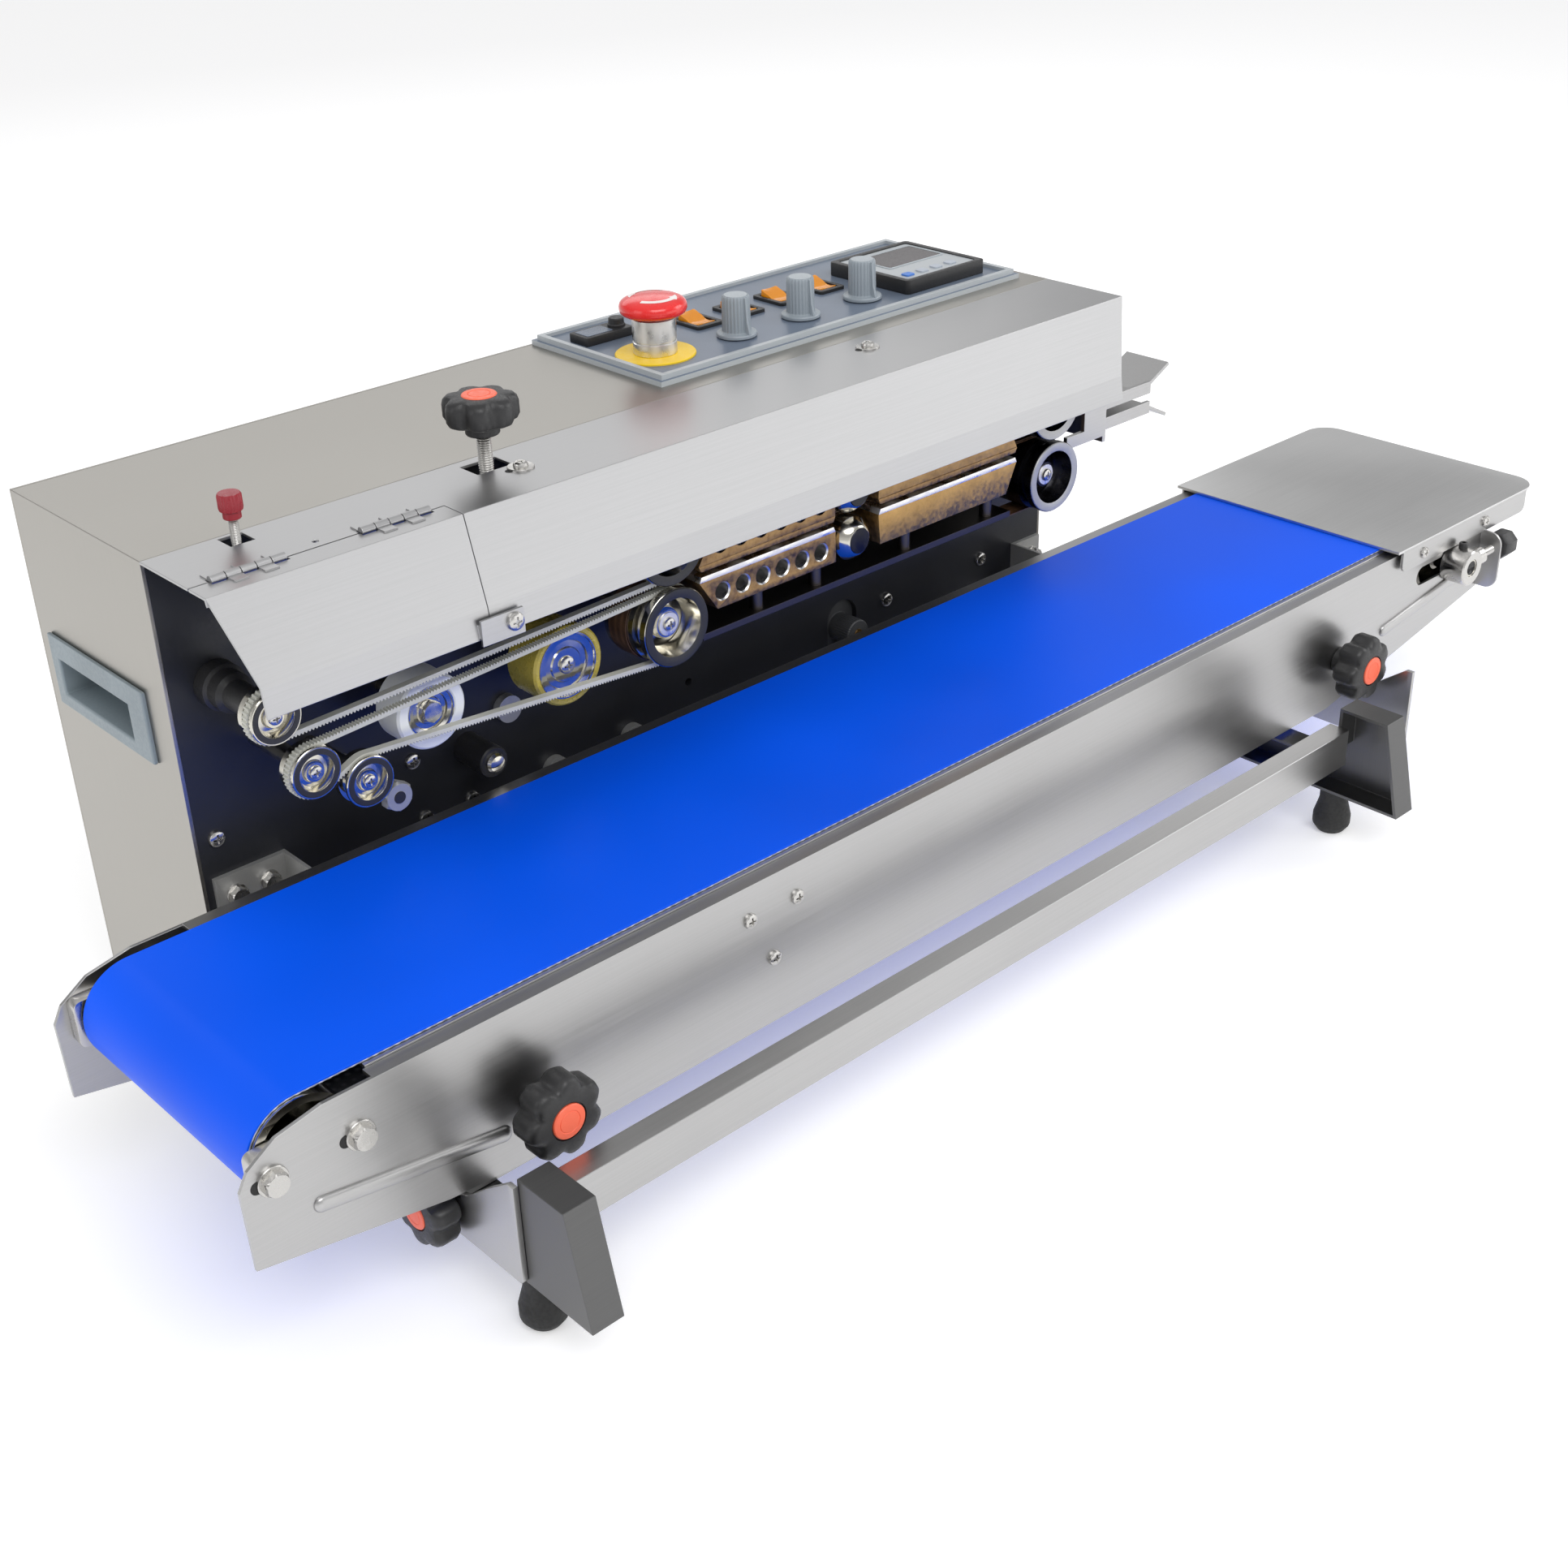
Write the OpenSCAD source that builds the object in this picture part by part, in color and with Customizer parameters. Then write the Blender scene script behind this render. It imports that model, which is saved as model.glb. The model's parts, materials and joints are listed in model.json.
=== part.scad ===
// Tabletop continuous band sealer with a belt conveyor.
// Origin: bottom centre of the machine. X runs along the machine, Y to its back, Z up. Millimetres.

/* [Cabinet] */
// Length of the cabinet
body_len = 648; // [640:1:660]
// Height of the cabinet's top above the floor
body_top = 320; // [319:0.5:322]
// Height of the cabinet's underside above the floor
body_z = 30; // [28:1:32]
// Thickness of the sheet metal
sheet_t = 2; // [1.5:0.1:2]
// Thickness of the black front wall
wall_t = 4; // [3:0.5:5]

/* [Sealing head] */
// Height of the line where the upper and lower bands meet
seal_z = 238.5; // [237:0.5:240]
// Radius of the four band wheels
band_r = 23; // [22.5:0.1:23.2]
// Distance between the left and right band wheels
band_span = 318; // [316:1:320]
// Length of one heating block
heat_len = 123; // [110:1:126]
// Length of one cooling block
cool_len = 105; // [100:1:107]
// Number of air holes through a cooling block
cool_holes = 6; // [4:1:6]

/* [Conveyor] */
// Length of the conveyor with its loading plate
conveyor_len = 1046; // [1040:1:1050]
// Width of the belt
belt_w = 150; // [140:1:150]
// Height of the roller axes above the floor
roller_z = 121; // [120:0.5:122]
// Radius of the conveyor rollers
roller_r = 26; // [24:0.5:26.5]
// Depth of the conveyor's side plates
plate_h = 89; // [85:1:90]

/* [Legs] */
// Width of a folded leg
leg_w = 18.4; // [17:0.1:20]
// Distance of each leg's middle from the middle of the pair
leg_half = 321.3; // [318:0.1:322]

/* [Hidden] */
$fn = 48;

// cabinet limits
body_x0 = -423;
body_x1 = body_x0 + body_len;
wall_y = 78;
wall_back = wall_y + wall_t;
body_y1 = 217;
inner_x0 = body_x0 + sheet_t;
inner_x1 = body_x1 - sheet_t;
top_under = body_top - sheet_t;

// guard section, front to back
fold_y = 16;
face_z = body_top - 46;
face_y = 3;
lip_z = body_top - 61;
lip_y = 1;
guard_t = 1.5;
flap_x1 = -282.6;
hinge_y = 32;
hinge_z = body_top + 0.5;
hinge_x = [-392, -311];
knuckle = 8;
end_cut = 13;

// control panel
panel = [-91, 93, 214, 215];
panel_t = 6;
face_t = 4;
panel_face = body_top + face_t;
estop = [-60.6, 134.3];
rocker_x = [-3, 31.5, 66, 100.5];
rocker_y = 164;
dial_x = [-4.3, 48.6, 102];
dial_y = 125.5;

// screws through the top
press_at = [-234.6, 63];
guide_at = [-376.9, 69];

// wheel train: every axis runs along Y
band_t = 0.6;
gap = 0.3;
run = 0.05;
lower_z = seal_z - gap - band_t - gap - band_r;
upper_z = seal_z + gap + band_t + gap + band_r;
wheel_l = -150.5;
wheel_r = wheel_l + band_span;
wheel_f = 18;
wheel_b = 54;
shaft_r = 6;
belt_y = 26;
belt_d = 4.4;
guide_t = 3;
groove_r = 19.5;
pulley_r = 11.5;
upper_pulley = [-395.6, 247.5];
lower_pulley = [-379, 211.5];
idler = [-350.3, 195.3];
stud = [-333.5, 178.5];
wall_screws = [
    [-410.7, 164.7], [-292, 163.2], [-256.4, 125.5], [-287.6, 125.8], [73.9, 140.8], [164.7, 141.5]
];
nylon = [-303, 213];
nylon_r = 20.8;
press = [-215, 208.5];
press_r = 23;
coupling = [-256, 158];
nip_x = -9.5;
nip_r = 13.6;

// blocks
block_f = 20;
block_b = 50;
block_h = 19;
strip_t = 3.4;
strip_top = seal_z - gap - band_t - gap - 0.3;
block_low = strip_top - strip_t - block_h;
cool_x1 = -26.3;
fin_gap = 2.8;
heat_x0 = 9.4;
shelf_z0 = 192.5;
shelf_z1 = 196.5;
shelf_y = 30;
hanger_z = 276;
post_x = [-75, -28, 48, 123];
hanger_x = [-100, -50, 35, 110];
post_y = 37;
post_r = 4;

// conveyor
conv_x0 = -conveyor_len / 2;
conv_x1 = conveyor_len / 2;
belt_mid = -40.5;
belt_t = 1.5;
belt_run = 0.3;
plate_f = -127.5;
plate_b = 2 * belt_mid - plate_f;
plate_z1 = 146;
plate_z0 = plate_z1 - plate_h;
drive_x = conv_x0 + 37.5;
tail_x = 418;
end_tab = tail_x + 39;
tension_y = 9;
load_x0 = 344;
load_z = 151;
bolt_dx = 22;
cross_x = [-250, -20, 210];

// legs and carriage
leg_mid = -83;
leg_top = 91.5;
leg_low = 54;
leg_bottom = 30;
leg_front_top = -204;
leg_front_bottom = -218;
leg_hook = -170;
clamp_z = 91;
clamp_x = [-371, 289.5];
depth_y = -109;
depth_z = 46;
tab_t = 3;

module box(a, b) translate(a) cube(b - a);
module ycyl(x, z, y0, y1, r) translate([x, y1, z]) rotate([90, 0, 0]) cylinder(h = y1 - y0, r = r);
module xcyl(y, z, x0, x1, r) translate([x0, y, z]) rotate([0, 90, 0]) cylinder(h = x1 - x0, r = r);
module zcyl(x, y, z0, z1, r) translate([x, y, z0]) cylinder(h = z1 - z0, r = r);

// a section drawn in (y, z) and drawn out along x
module along_x(x0, x1) translate([x0, 0, 0]) rotate([90, 0, 90]) linear_extrude(x1 - x0) children();
// a section drawn in (x, z) and drawn out along y
module along_y(y0, y1) translate([0, y1, 0]) rotate([90, 0, 0]) linear_extrude(y1 - y0) children();

// pan-head screw with its head towards -Y
module wall_screw(x, z, y) {
    ycyl(x, z, y - 2.2, y, 4);
    ycyl(x, z, y, y + 2, 2);
}

// star grip with a cap, turned about Z, standing on z = 0
module star_grip(r, h) {
    difference() {
        cylinder(h = h, r = r);
        for (a = [0 : 360 / 7 : 359])
            rotate(a) translate([r * 1.12, 0, -1]) cylinder(h = h + 2, r = r * 0.3);
    }
    cylinder(h = h + 1.2, r = r * 0.42);
}

// closed belt round two wheels of radius r0 and r1
module belt_loop(p0, r0, p1, r1, t, y0, y1) {
    difference() {
        belt_fill(p0, r0 + t, p1, r1 + t, y0, y1);
        belt_fill(p0, r0, p1, r1, y0 - 1, y1 + 1);
    }
}
module belt_fill(p0, r0, p1, r1, y0, y1) {
    ycyl(p0[0], p0[1], y0, y1, r0);
    ycyl(p1[0], p1[1], y0, y1, r1);
    d = p1 - p0;
    len = norm(d);
    side = atan2(d[1], d[0]);
    lean = acos((r0 - r1) / len);
    up = [cos(side + lean), sin(side + lean)];
    down = [cos(side - lean), sin(side - lean)];
    along_y(y0, y1) polygon([p0 + r0 * up, p0 + r0 * down, p1 + r1 * down, p1 + r1 * up]);
}

// ---------------------------------------------------------------- cabinet
module base_plate() color("silver") difference() {
    union() {
        box([inner_x0, wall_back, body_z], [inner_x1, body_y1 - sheet_t, body_z + 3]);
        box([inner_x0, body_y1 - sheet_t - 2, body_z + 3], [inner_x1, body_y1 - sheet_t, body_z + 18]);
    }
    for (x = [-395, 197]) zcyl(x, 195, body_z - 1, body_z + 4, 3);
}

module wall_panel() color([0.08, 0.08, 0.09]) difference() {
    box([inner_x0, wall_y, body_z], [inner_x1, wall_back, top_under]);
    for (p = [[wheel_l, lower_z], [wheel_r, lower_z], [wheel_l, upper_z], [wheel_r, upper_z]])
        ycyl(p[0], p[1], wall_y - 1, wall_back + 1, shaft_r + run);
    for (p = [upper_pulley, lower_pulley, idler, nylon, press, [nip_x, low_nip_z()], [nip_x, up_nip_z()]])
        ycyl(p[0], p[1], wall_y - 1, wall_back + 1, 5 + run);
    ycyl(coupling[0], coupling[1], wall_y - 1, wall_back + 1, 9 + run);
    hull() {
        ycyl(34, 140, wall_y - 1, wall_back + 1, 13);
        ycyl(34, 122, wall_y - 1, wall_back + 1, 13);
    }
    ycyl(-95.6, 140.9, wall_y - 1, wall_back + 1, 2.5);
    for (p = wall_screws) ycyl(p[0], p[1], wall_y - 1, wall_back + 1, 2 + run);
}

module case_shell() color("silver") difference() {
    union() {
        box([body_x0, wall_y, body_z], [inner_x0, body_y1 - sheet_t, body_top]);
        box([inner_x1, wall_y, body_z], [body_x1, body_y1 - sheet_t, body_top]);
        box([inner_x0, wall_y, top_under], [inner_x1, body_y1 - sheet_t, body_top]);
    }
    box([panel[0] + 12, panel[1] + 12, top_under - 1], [panel[2] - 12, panel[3] - 12, body_top + 1]);
    for (x = [body_x0 - 1, inner_x1 - 1])
        box([x, 106, 209], [x + sheet_t + 2, 198, 239]);
}

module rear_panel() color("silver") difference() {
    box([body_x0, body_y1 - sheet_t, body_z], [body_x1, body_y1, body_top]);
    for (x = [-330, 60], i = [0 : 6])
        box([x, body_y1 - 3, 190 + i * 12], [x + 80, body_y1 + 1, 194 + i * 12]);
    box([-395, body_y1 - 3, 68], [-367, body_y1 + 1, 96]);
}

// recessed pull: a flange outside and a tub inside; side = -1 left, 1 right
module pull_handle(side) {
    x = side < 0 ? body_x0 : body_x1;
    translate([x, 0, 0]) mirror([side < 0 ? 1 : 0, 0, 0]) difference() {
        union() {
            box([0, 100.5, 203.5], [2.5, 203.3, 244.5]);
            box([-25, 106, 209], [0, 198, 239]);
        }
        box([-23, 119, 211.5], [3, 194, 231.5]);
    }
}
module side_handles() color([0.45, 0.5, 0.54]) {
    pull_handle(-1);
    pull_handle(1);
}

module guard_face(y_top) polygon([
    [y_top, body_top], [fold_y, body_top], [face_y, face_z], [lip_y, lip_z],
    [lip_y + guard_t, lip_z], [face_y + guard_t, face_z - 0.3],
    [fold_y + guard_t, body_top - guard_t], [y_top, body_top - guard_t]
]);

// wedge that trims the guard's end back towards the lip; dir = -1 left, 1 right
module end_trim(x, dir) along_y(-5, fold_y + 0.5)
    polygon([[x, body_top], [x + dir * 5, body_top], [x + dir * 5, lip_z - 5],
             [x - dir * end_cut, lip_z - 5], [x - dir * end_cut, face_z]]);

module guard_cover() color("gainsboro") {
    difference() {
        union() {
            along_x(flap_x1 + 0.4, body_x1) guard_face(wall_y);
            box([body_x0, hinge_y + 0.5, body_top - guard_t], [flap_x1 + 0.4, wall_y, body_top]);
        }
        end_trim(body_x1, 1);
        box([press_at[0] - 11, press_at[1] - 8, top_under - 1], [press_at[0] + 11, press_at[1] + 8, body_top + 1]);
        box([guide_at[0] - 6.5, guide_at[1] - 6.5, top_under - 1],
            [guide_at[0] + 6.5, guide_at[1] + 6.5, body_top + 1]);
        zcyl(-351.7, 38.8, top_under - 1, body_top + 1, 1.6);
        for (x = hinge_x)
            box([x - knuckle * 2.5 - 0.5, hinge_y, top_under - 1], [x + knuckle * 2.5 + 0.5, hinge_y + 3.4, body_top + 1]);
    }
    for (x = hinge_x) {
        for (i = [-2, 0, 2]) {
            xcyl(hinge_y, hinge_z, x + (i - 0.5) * knuckle, x + (i + 0.5) * knuckle - 0.4, 2.4);
            box([x + (i - 0.5) * knuckle, hinge_y + 1, body_top - 0.8],
                [x + (i + 0.5) * knuckle - 0.4, hinge_y + 9, body_top + 0.8]);
        }
        xcyl(hinge_y, hinge_z, x - knuckle * 2.5, x + knuckle * 2.5 - 0.4, 1.2);
    }
}

module guard_flap() color("gainsboro") {
    difference() {
        along_x(body_x0, flap_x1) guard_face(hinge_y - 0.4);
        end_trim(body_x0, -1);
        for (x = hinge_x)
            box([x - knuckle * 2.5 - 0.5, hinge_y - 3.4, top_under - 1], [x + knuckle * 2.5 + 0.5, hinge_y, body_top + 1]);
    }
    // locking tab that laps over the fixed guard, with its screw
    box([-290, lip_y - 2.2, lip_z - 3], [-264, lip_y - 0.5, lip_z + 11]);
    box([-290, lip_y - 0.5, lip_z + 1], [-284, lip_y + 1.4, lip_z + 8]);
    ycyl(-270, lip_z + 5, lip_y - 4.2, lip_y - 2.2, 4);
    for (x = hinge_x, i = [-1, 1]) difference() {
        union() {
            xcyl(hinge_y, hinge_z, x + (i - 0.5) * knuckle, x + (i + 0.5) * knuckle - 0.4, 2.4);
            box([x + (i - 0.5) * knuckle, hinge_y - 9, body_top - 0.8],
                [x + (i + 0.5) * knuckle - 0.4, hinge_y - 1, body_top + 0.8]);
        }
        xcyl(hinge_y, hinge_z, x - 30, x + 30, 1.2 + run);
    }
}

// ---------------------------------------------------------------- controls
module control_panel() color([0.5, 0.55, 0.6]) difference() {
    union() {
        box([panel[0], panel[1], body_top], [panel[2], panel[3], body_top + 3]);
        box([panel[0] + 2.5, panel[1] + 2.5, body_top + 3], [panel[2] - 2.5, panel[3] - 2.5, body_top + panel_t]);
    }
    box([panel[0] + 6, panel[1] + 6, panel_face], [panel[2] - 6, panel[3] - 6, body_top + 10]);
    zcyl(estop[0], estop[1], body_top - 1, panel_face + 1, 11 + run);
    for (x = rocker_x) box([x - 8.5, rocker_y - 12, body_top - 1], [x + 8.5, rocker_y + 12, panel_face + 1]);
    for (x = dial_x) zcyl(x, dial_y, body_top - 1, panel_face + 1, 3 + run);
    box([130, 112, body_top - 1], [194, 176, panel_face + 1]);
}

module temp_controller() color([0.1, 0.1, 0.11]) {
    difference() {
        box([126, 108.5, panel_face], [198, 180.5, panel_face + 9]);
        box([130, 112.5, panel_face + 7.5], [194, 176.5, panel_face + 10]);
    }
    box([130.5, 112.5, body_top - 60], [193.5, 175.5, panel_face]);
    for (x = [139, 152, 165, 178]) box([x, 118, panel_face + 7.5], [x + 8, 124, panel_face + 8.6]);
    box([142, 140, panel_face + 7.5], [190, 170, panel_face + 8.2]);
}

module switch_bezels() color([0.08, 0.08, 0.08]) {
    for (x = rocker_x) difference() {
        union() {
            box([x - 10.5, rocker_y - 14, panel_face], [x + 10.5, rocker_y + 14, panel_face + 2]);
            box([x - 8.5, rocker_y - 12, body_top - 18], [x + 8.5, rocker_y + 12, panel_face]);
        }
        box([x - 7, rocker_y - 11, body_top - 12], [x + 7, rocker_y + 11, panel_face + 3]);
        xcyl(rocker_y, panel_face, x - 8, x + 8, 1 + run);
    }
    difference() {
        box([-80, 174, panel_face], [-44, 192, panel_face + 5]);
        box([-66, 178, panel_face + 4.2], [-48, 188, panel_face + 6]);
    }
    zcyl(-73, 183, panel_face + 5, panel_face + 6.5, 3.2);
}

module estop_base() {
    color("gold") difference() {
        zcyl(estop[0], estop[1], panel_face, panel_face + 1.2, 24);
        zcyl(estop[0], estop[1], panel_face - 1, panel_face + 2, 10.9);
    }
    color("silver") difference() {
        union() {
            zcyl(estop[0], estop[1], body_top - 35, panel_face + 1.2, 10.9);
            zcyl(estop[0], estop[1], panel_face + 1.2, panel_face + 17, 13);
        }
        zcyl(estop[0], estop[1], body_top - 28, panel_face + 18, 7);
    }
}

module estop_button() color("red") {
    translate([estop[0], estop[1], 0]) {
        rotate_extrude() polygon([
            [0, panel_face - 10], [6.9, panel_face - 10], [6.9, panel_face + 24], [15, panel_face + 24],
            [19.5, panel_face + 26], [20, panel_face + 29], [18.5, panel_face + 32],
            [12, panel_face + 34.5], [0, panel_face + 35.5]
        ]);
    }
}

module rocker(i) color("orange") translate([rocker_x[i], rocker_y, panel_face]) {
    rotate([90, 0, 90]) translate([0, 0, -6.7]) linear_extrude(13.4)
        polygon([[-9.5, -1], [-9.5, 1.8], [0, 2.4], [9.5, 5.4], [9.5, -1], [4, -8], [-4, -8]]);
    xcyl(0, 0, -7.9, 7.9, 1);
}

module dial_knob(i) color([0.6, 0.64, 0.67]) translate([dial_x[i], dial_y, panel_face]) {
    translate([0, 0, -16]) cylinder(h = 17, r = 3);
    translate([0, 0, 0.6]) cylinder(h = 2.4, r = 12.3);
    difference() {
        translate([0, 0, 3]) cylinder(h = 22, r = 8.7);
        for (a = [15 : 15 : 345]) rotate(a) translate([8.9, 0, 4]) cylinder(h = 22, r = 0.6);
    }
    rotate(-90) box([6, -0.8, 3], [12, 0.8, 12]);
}

module pressure_screw() translate([press_at[0], press_at[1], 0]) {
    color("silver") translate([0, 0, 286]) cylinder(h = 54, r = 4);
    color([0.1, 0.1, 0.1]) translate([0, 0, 338]) {
        cylinder(h = 5, r = 9);
        translate([0, 0, 5]) star_grip(20, 15);
    }
}

module guide_screw() translate([guide_at[0], guide_at[1], 0]) {
    color("silver") translate([0, 0, 290]) cylinder(h = 43, r = 2.5);
    color([0.6, 0.08, 0.12]) translate([0, 0, 331]) {
        cylinder(h = 4, r = 4.5);
        translate([0, 0, 4]) cylinder(h = 9, r = 6);
    }
}

// ---------------------------------------------------------------- head
function low_nip_z() = seal_z - gap - band_t - gap - nip_r;
function up_nip_z() = seal_z + gap + band_t + gap + nip_r;

module wall_brackets() color("silver") {
    for (b = [[-417, -374.5, -376.5], [196, 222, 196]]) {
        box([b[0], wall_y - 3, 106], [b[1], wall_y, 143]);
        box([b[2], wall_y - 27, 106], [b[2] + 2, wall_y - 3, 143]);
        for (k = [0.25, 0.7]) ycyl(b[0] + k * (b[1] - b[0]), 131, wall_y - 8, wall_y - 3, 4.5);
    }
    // threaded blocks that the two top screws run in
    difference() {
        box([press_at[0] - 10, wall_y - 26, 296], [press_at[0] + 10, wall_y, 310]);
        zcyl(press_at[0], press_at[1], 290, 315, 4 + run);
    }
    difference() {
        box([guide_at[0] - 8, wall_y - 18, 298], [guide_at[0] + 8, wall_y, 308]);
        zcyl(guide_at[0], guide_at[1], 290, 315, 2.5 + run);
    }
    // plain studs and bushes on the wall
    ycyl(stud[0], stud[1], 30, wall_y, 5);
    ycyl(stud[0], stud[1], 24, 30, 7.5);
    for (p = [[-228.5, 173], [-199.5, 123], [-142, 122.5]]) ycyl(p[0], p[1], wall_y - 5, wall_y, 8);
}

// shelf inside the lower band's loop, with the posts that carry the lower blocks
module wall_shelf() color([0.3, 0.27, 0.24]) {
    box([-122, shelf_y, shelf_z0], [139, wall_y, shelf_z1]);
    for (x = post_x) zcyl(x, post_y, shelf_z1, block_low, post_r);
    // hangers of the upper blocks
    for (x = hanger_x) {
        box([x - 6, post_y - 5, hanger_z], [x + 6, wall_y, hanger_z + 4]);
        zcyl(x, post_y, 2 * seal_z - block_low, hanger_z, post_r);
    }
}

// one block with its contact strip, lower side; x0..x1 along the top, cut = slant of the ends
module block(x0, x1, cut0, cut1) {
    along_y(block_f, block_b) polygon([
        [x0, strip_top - strip_t], [x1, strip_top - strip_t],
        [x1 - cut1, strip_top - strip_t - block_h], [x0 + cut0, strip_top - strip_t - block_h]]);
    along_y(block_f, block_b) polygon([
        [x0, strip_top - strip_t], [x0 + 1.5, strip_top], [x1 - 1.5, strip_top], [x1, strip_top - strip_t]]);
}
module mirrored() {
    children();
    translate([0, 0, 2 * seal_z]) mirror([0, 0, 1]) children();
}
module cooling_blocks() color([0.6, 0.45, 0.25]) mirrored() difference() {
    block(cool_x1 - cool_len, cool_x1, 12.6, 0);
    for (i = [0 : cool_holes - 1])
        ycyl(-114.5 + 15.3 * i, strip_top - strip_t - 9.5, block_f - 1, block_b + 1, 5);
}
module heating_blocks() color([0.65, 0.5, 0.22]) mirrored() difference() {
    block(heat_x0, heat_x0 + heat_len, 1.2, 9.3);
    ycyl(heat_x0 + heat_len / 2, strip_top - strip_t - 10, block_b - 12, block_b + 1, 3);
}

// chrome wheel with a deep dish, a guide-belt groove and its shaft
module band_wheel(x, z) color("silver") translate([x, 0, z]) rotate([-90, 0, 0]) {
    rotate_extrude() polygon([
        [0, wheel_f + 8], [8, wheel_f + 8], [9, wheel_f + 13], [15, wheel_f + 13], [19, wheel_f],
        [band_r, wheel_f], [band_r, belt_y - 3], [groove_r, belt_y - 2.5], [groove_r, belt_y + 2.5],
        [band_r, belt_y + 3], [band_r, wheel_b], [shaft_r, wheel_b], [shaft_r, 100], [0, 100]
    ]);
    translate([0, 0, 86]) cylinder(h = 10, r = 22.4);
}

module small_pulley(p) color("silver") translate([p[0], 0, p[1]]) rotate([-90, 0, 0]) {
    rotate_extrude() polygon([
        [0, 22.5], [5, 22.5], [6, 25], [8.5, 25], [9.5, 21], [13.8, 21], [13.8, belt_y - 3],
        [pulley_r, belt_y - 2.6], [pulley_r, belt_y + 2.6], [13.8, belt_y + 3], [13.8, 33],
        [5, 33], [5, 90], [0, 90]
    ]);
}

module roller_wheel(p, r, hub, y0, y1) translate([p[0], 0, p[1]]) rotate([-90, 0, 0]) {
    rotate_extrude() polygon([
        [0, y0 - 4], [5, y0 - 4], [6, y0 + 1], [hub - 2, y0 + 1], [hub - 1, y0 - 0.5], [r - 1.5, y0],
        [r, y0 + 1.5], [r, y1], [5, y1], [5, 92], [0, 92]
    ]);
}
module nylon_wheel() color("white") roller_wheel(nylon, nylon_r, 14, 33, 54);
module press_wheel() color("khaki") roller_wheel(press, press_r, 19, 33, 58);

module nip_roller(z) color("silver") translate([nip_x, 0, z]) rotate([-90, 0, 0])
    rotate_extrude() polygon([
        [0, 17], [8, 17], [9, 18], [nip_r, 24], [nip_r, 52], [5, 52], [5, 90], [0, 90]]);

module seal_bands() color([0.45, 0.33, 0.24]) for (z = [lower_z, upper_z])
    belt_loop([wheel_l, z], band_r + gap, [wheel_r, z], band_r + gap, band_t, 34, 49);

// angle of the upward normal of the line that touches two circles; a negative radius is touched from below
function touch(a, ra, b, rb) = let (d = b - a) atan2(d[1], d[0]) + acos((ra - rb) / norm(d));
function at(p, r, angle) = p + r * [cos(angle), sin(angle)];

// filled outline of the lower guide belt, whose return run is lifted by the idler
module lifted_fill(r0, r1, ri, y0, y1) {
    wheel = [wheel_l, lower_z];
    top = touch(lower_pulley, r0, wheel, r1);
    rise = touch(lower_pulley, -r0, idler, ri);
    fall = touch(idler, ri, wheel, -r1);
    difference() {
        union() {
            ycyl(lower_pulley[0], lower_pulley[1], y0, y1, r0);
            ycyl(wheel[0], wheel[1], y0, y1, r1);
            along_y(y0, y1) polygon([
                at(lower_pulley, r0, top), at(wheel, r1, top), at(wheel, -r1, fall),
                at(idler, ri, fall), at(idler, ri, rise), at(lower_pulley, -r0, rise)
            ]);
        }
        ycyl(idler[0], idler[1], y0 - 1, y1 + 1, ri);
    }
}
module guide_belts() color([0.75, 0.75, 0.7]) {
    y0 = belt_y - belt_d / 2;
    y1 = belt_y + belt_d / 2;
    r0 = pulley_r + gap;
    r1 = groove_r + gap;
    belt_loop(upper_pulley, r0, [wheel_l, upper_z], r1, guide_t, y0, y1);
    difference() {
        lifted_fill(r0 + guide_t, r1 + guide_t, r0, y0, y1);
        lifted_fill(r0, r1, r0 + guide_t, y0 - 1, y1 + 1);
    }
}

module inlet_guide() color("silver") {
    difference() {
        box([186, 24, 226], [inner_x1 + 2, 27, 252]);
        box([186, 23, 234], [inner_x1 - 20, 28, 253]);
    }
    box([inner_x1 - 1, 24, 222], [inner_x1 + 2, wall_y, 236]);
    for (s = [-1, 1]) translate([0, 0, seal_z]) mirror([0, 0, s < 0 ? 1 : 0]) {
        box([220, 28, fin_gap], [276, 30.5, 11]);
        along_y(30.5, 66) polygon([
            [222, fin_gap], [270, fin_gap], [298, fin_gap + 14], [297, fin_gap + 16],
            [269, fin_gap + 2.2], [222, fin_gap + 2.2]
        ]);
    }
    box([inner_x1 - 1, 62, 222], [inner_x1 + 5, 70, 256]);
}

module gearmotor() color([0.35, 0.37, 0.4]) {
    box([10, wall_back, 96], [90, 140, 176]);
    ycyl(50, 136, 140, 208, 32);
    ycyl(34, 134, wall_y - 14, wall_back, 9);
    // sprocket and idler gears that carry the drive to the wheel shafts
    ycyl(115, 165, 86, 96, 20);
    ycyl(115, 165, wall_back, 86, 5);
}

module electrics() {
    color("green") box([-300, 150, body_z + 10], [-180, 210, body_z + 13]);
    for (x = [-295, -185], y = [155, 205]) color("silver") zcyl(x, y, body_z + 3, body_z + 10, 3);
    color([0.2, 0.2, 0.22]) box([-150, 150, body_z + 3], [-80, 205, body_z + 58]);
    color([0.06, 0.06, 0.06]) difference() {
        union() {
            box([-395, 195, 68], [-367, body_y1, 96]);
            box([-399, body_y1, 64], [-363, body_y1 + 1, 100]);
        }
        box([-391, 200, 72], [-371, body_y1 + 2, 92]);
    }
    for (x = [-385, -381, -377]) color("silver") box([x - 1, 198, 80], [x + 1, 210, 85]);
}

module case_screws() color("silver") {
    for (p = wall_screws) wall_screw(p[0], p[1], wall_y);
    // guard screws on big washers
    for (p = [[-224, 47.5], [41, 60]]) {
        zcyl(p[0], p[1], body_top, body_top + 1, 7);
        zcyl(p[0], p[1], body_top + 1, body_top + 3, 3.6);
    }
    for (x = [-410, -100, 212], z = [45, 305]) ycyl(x, z, body_y1, body_y1 + 1, 3.6);
}

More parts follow.
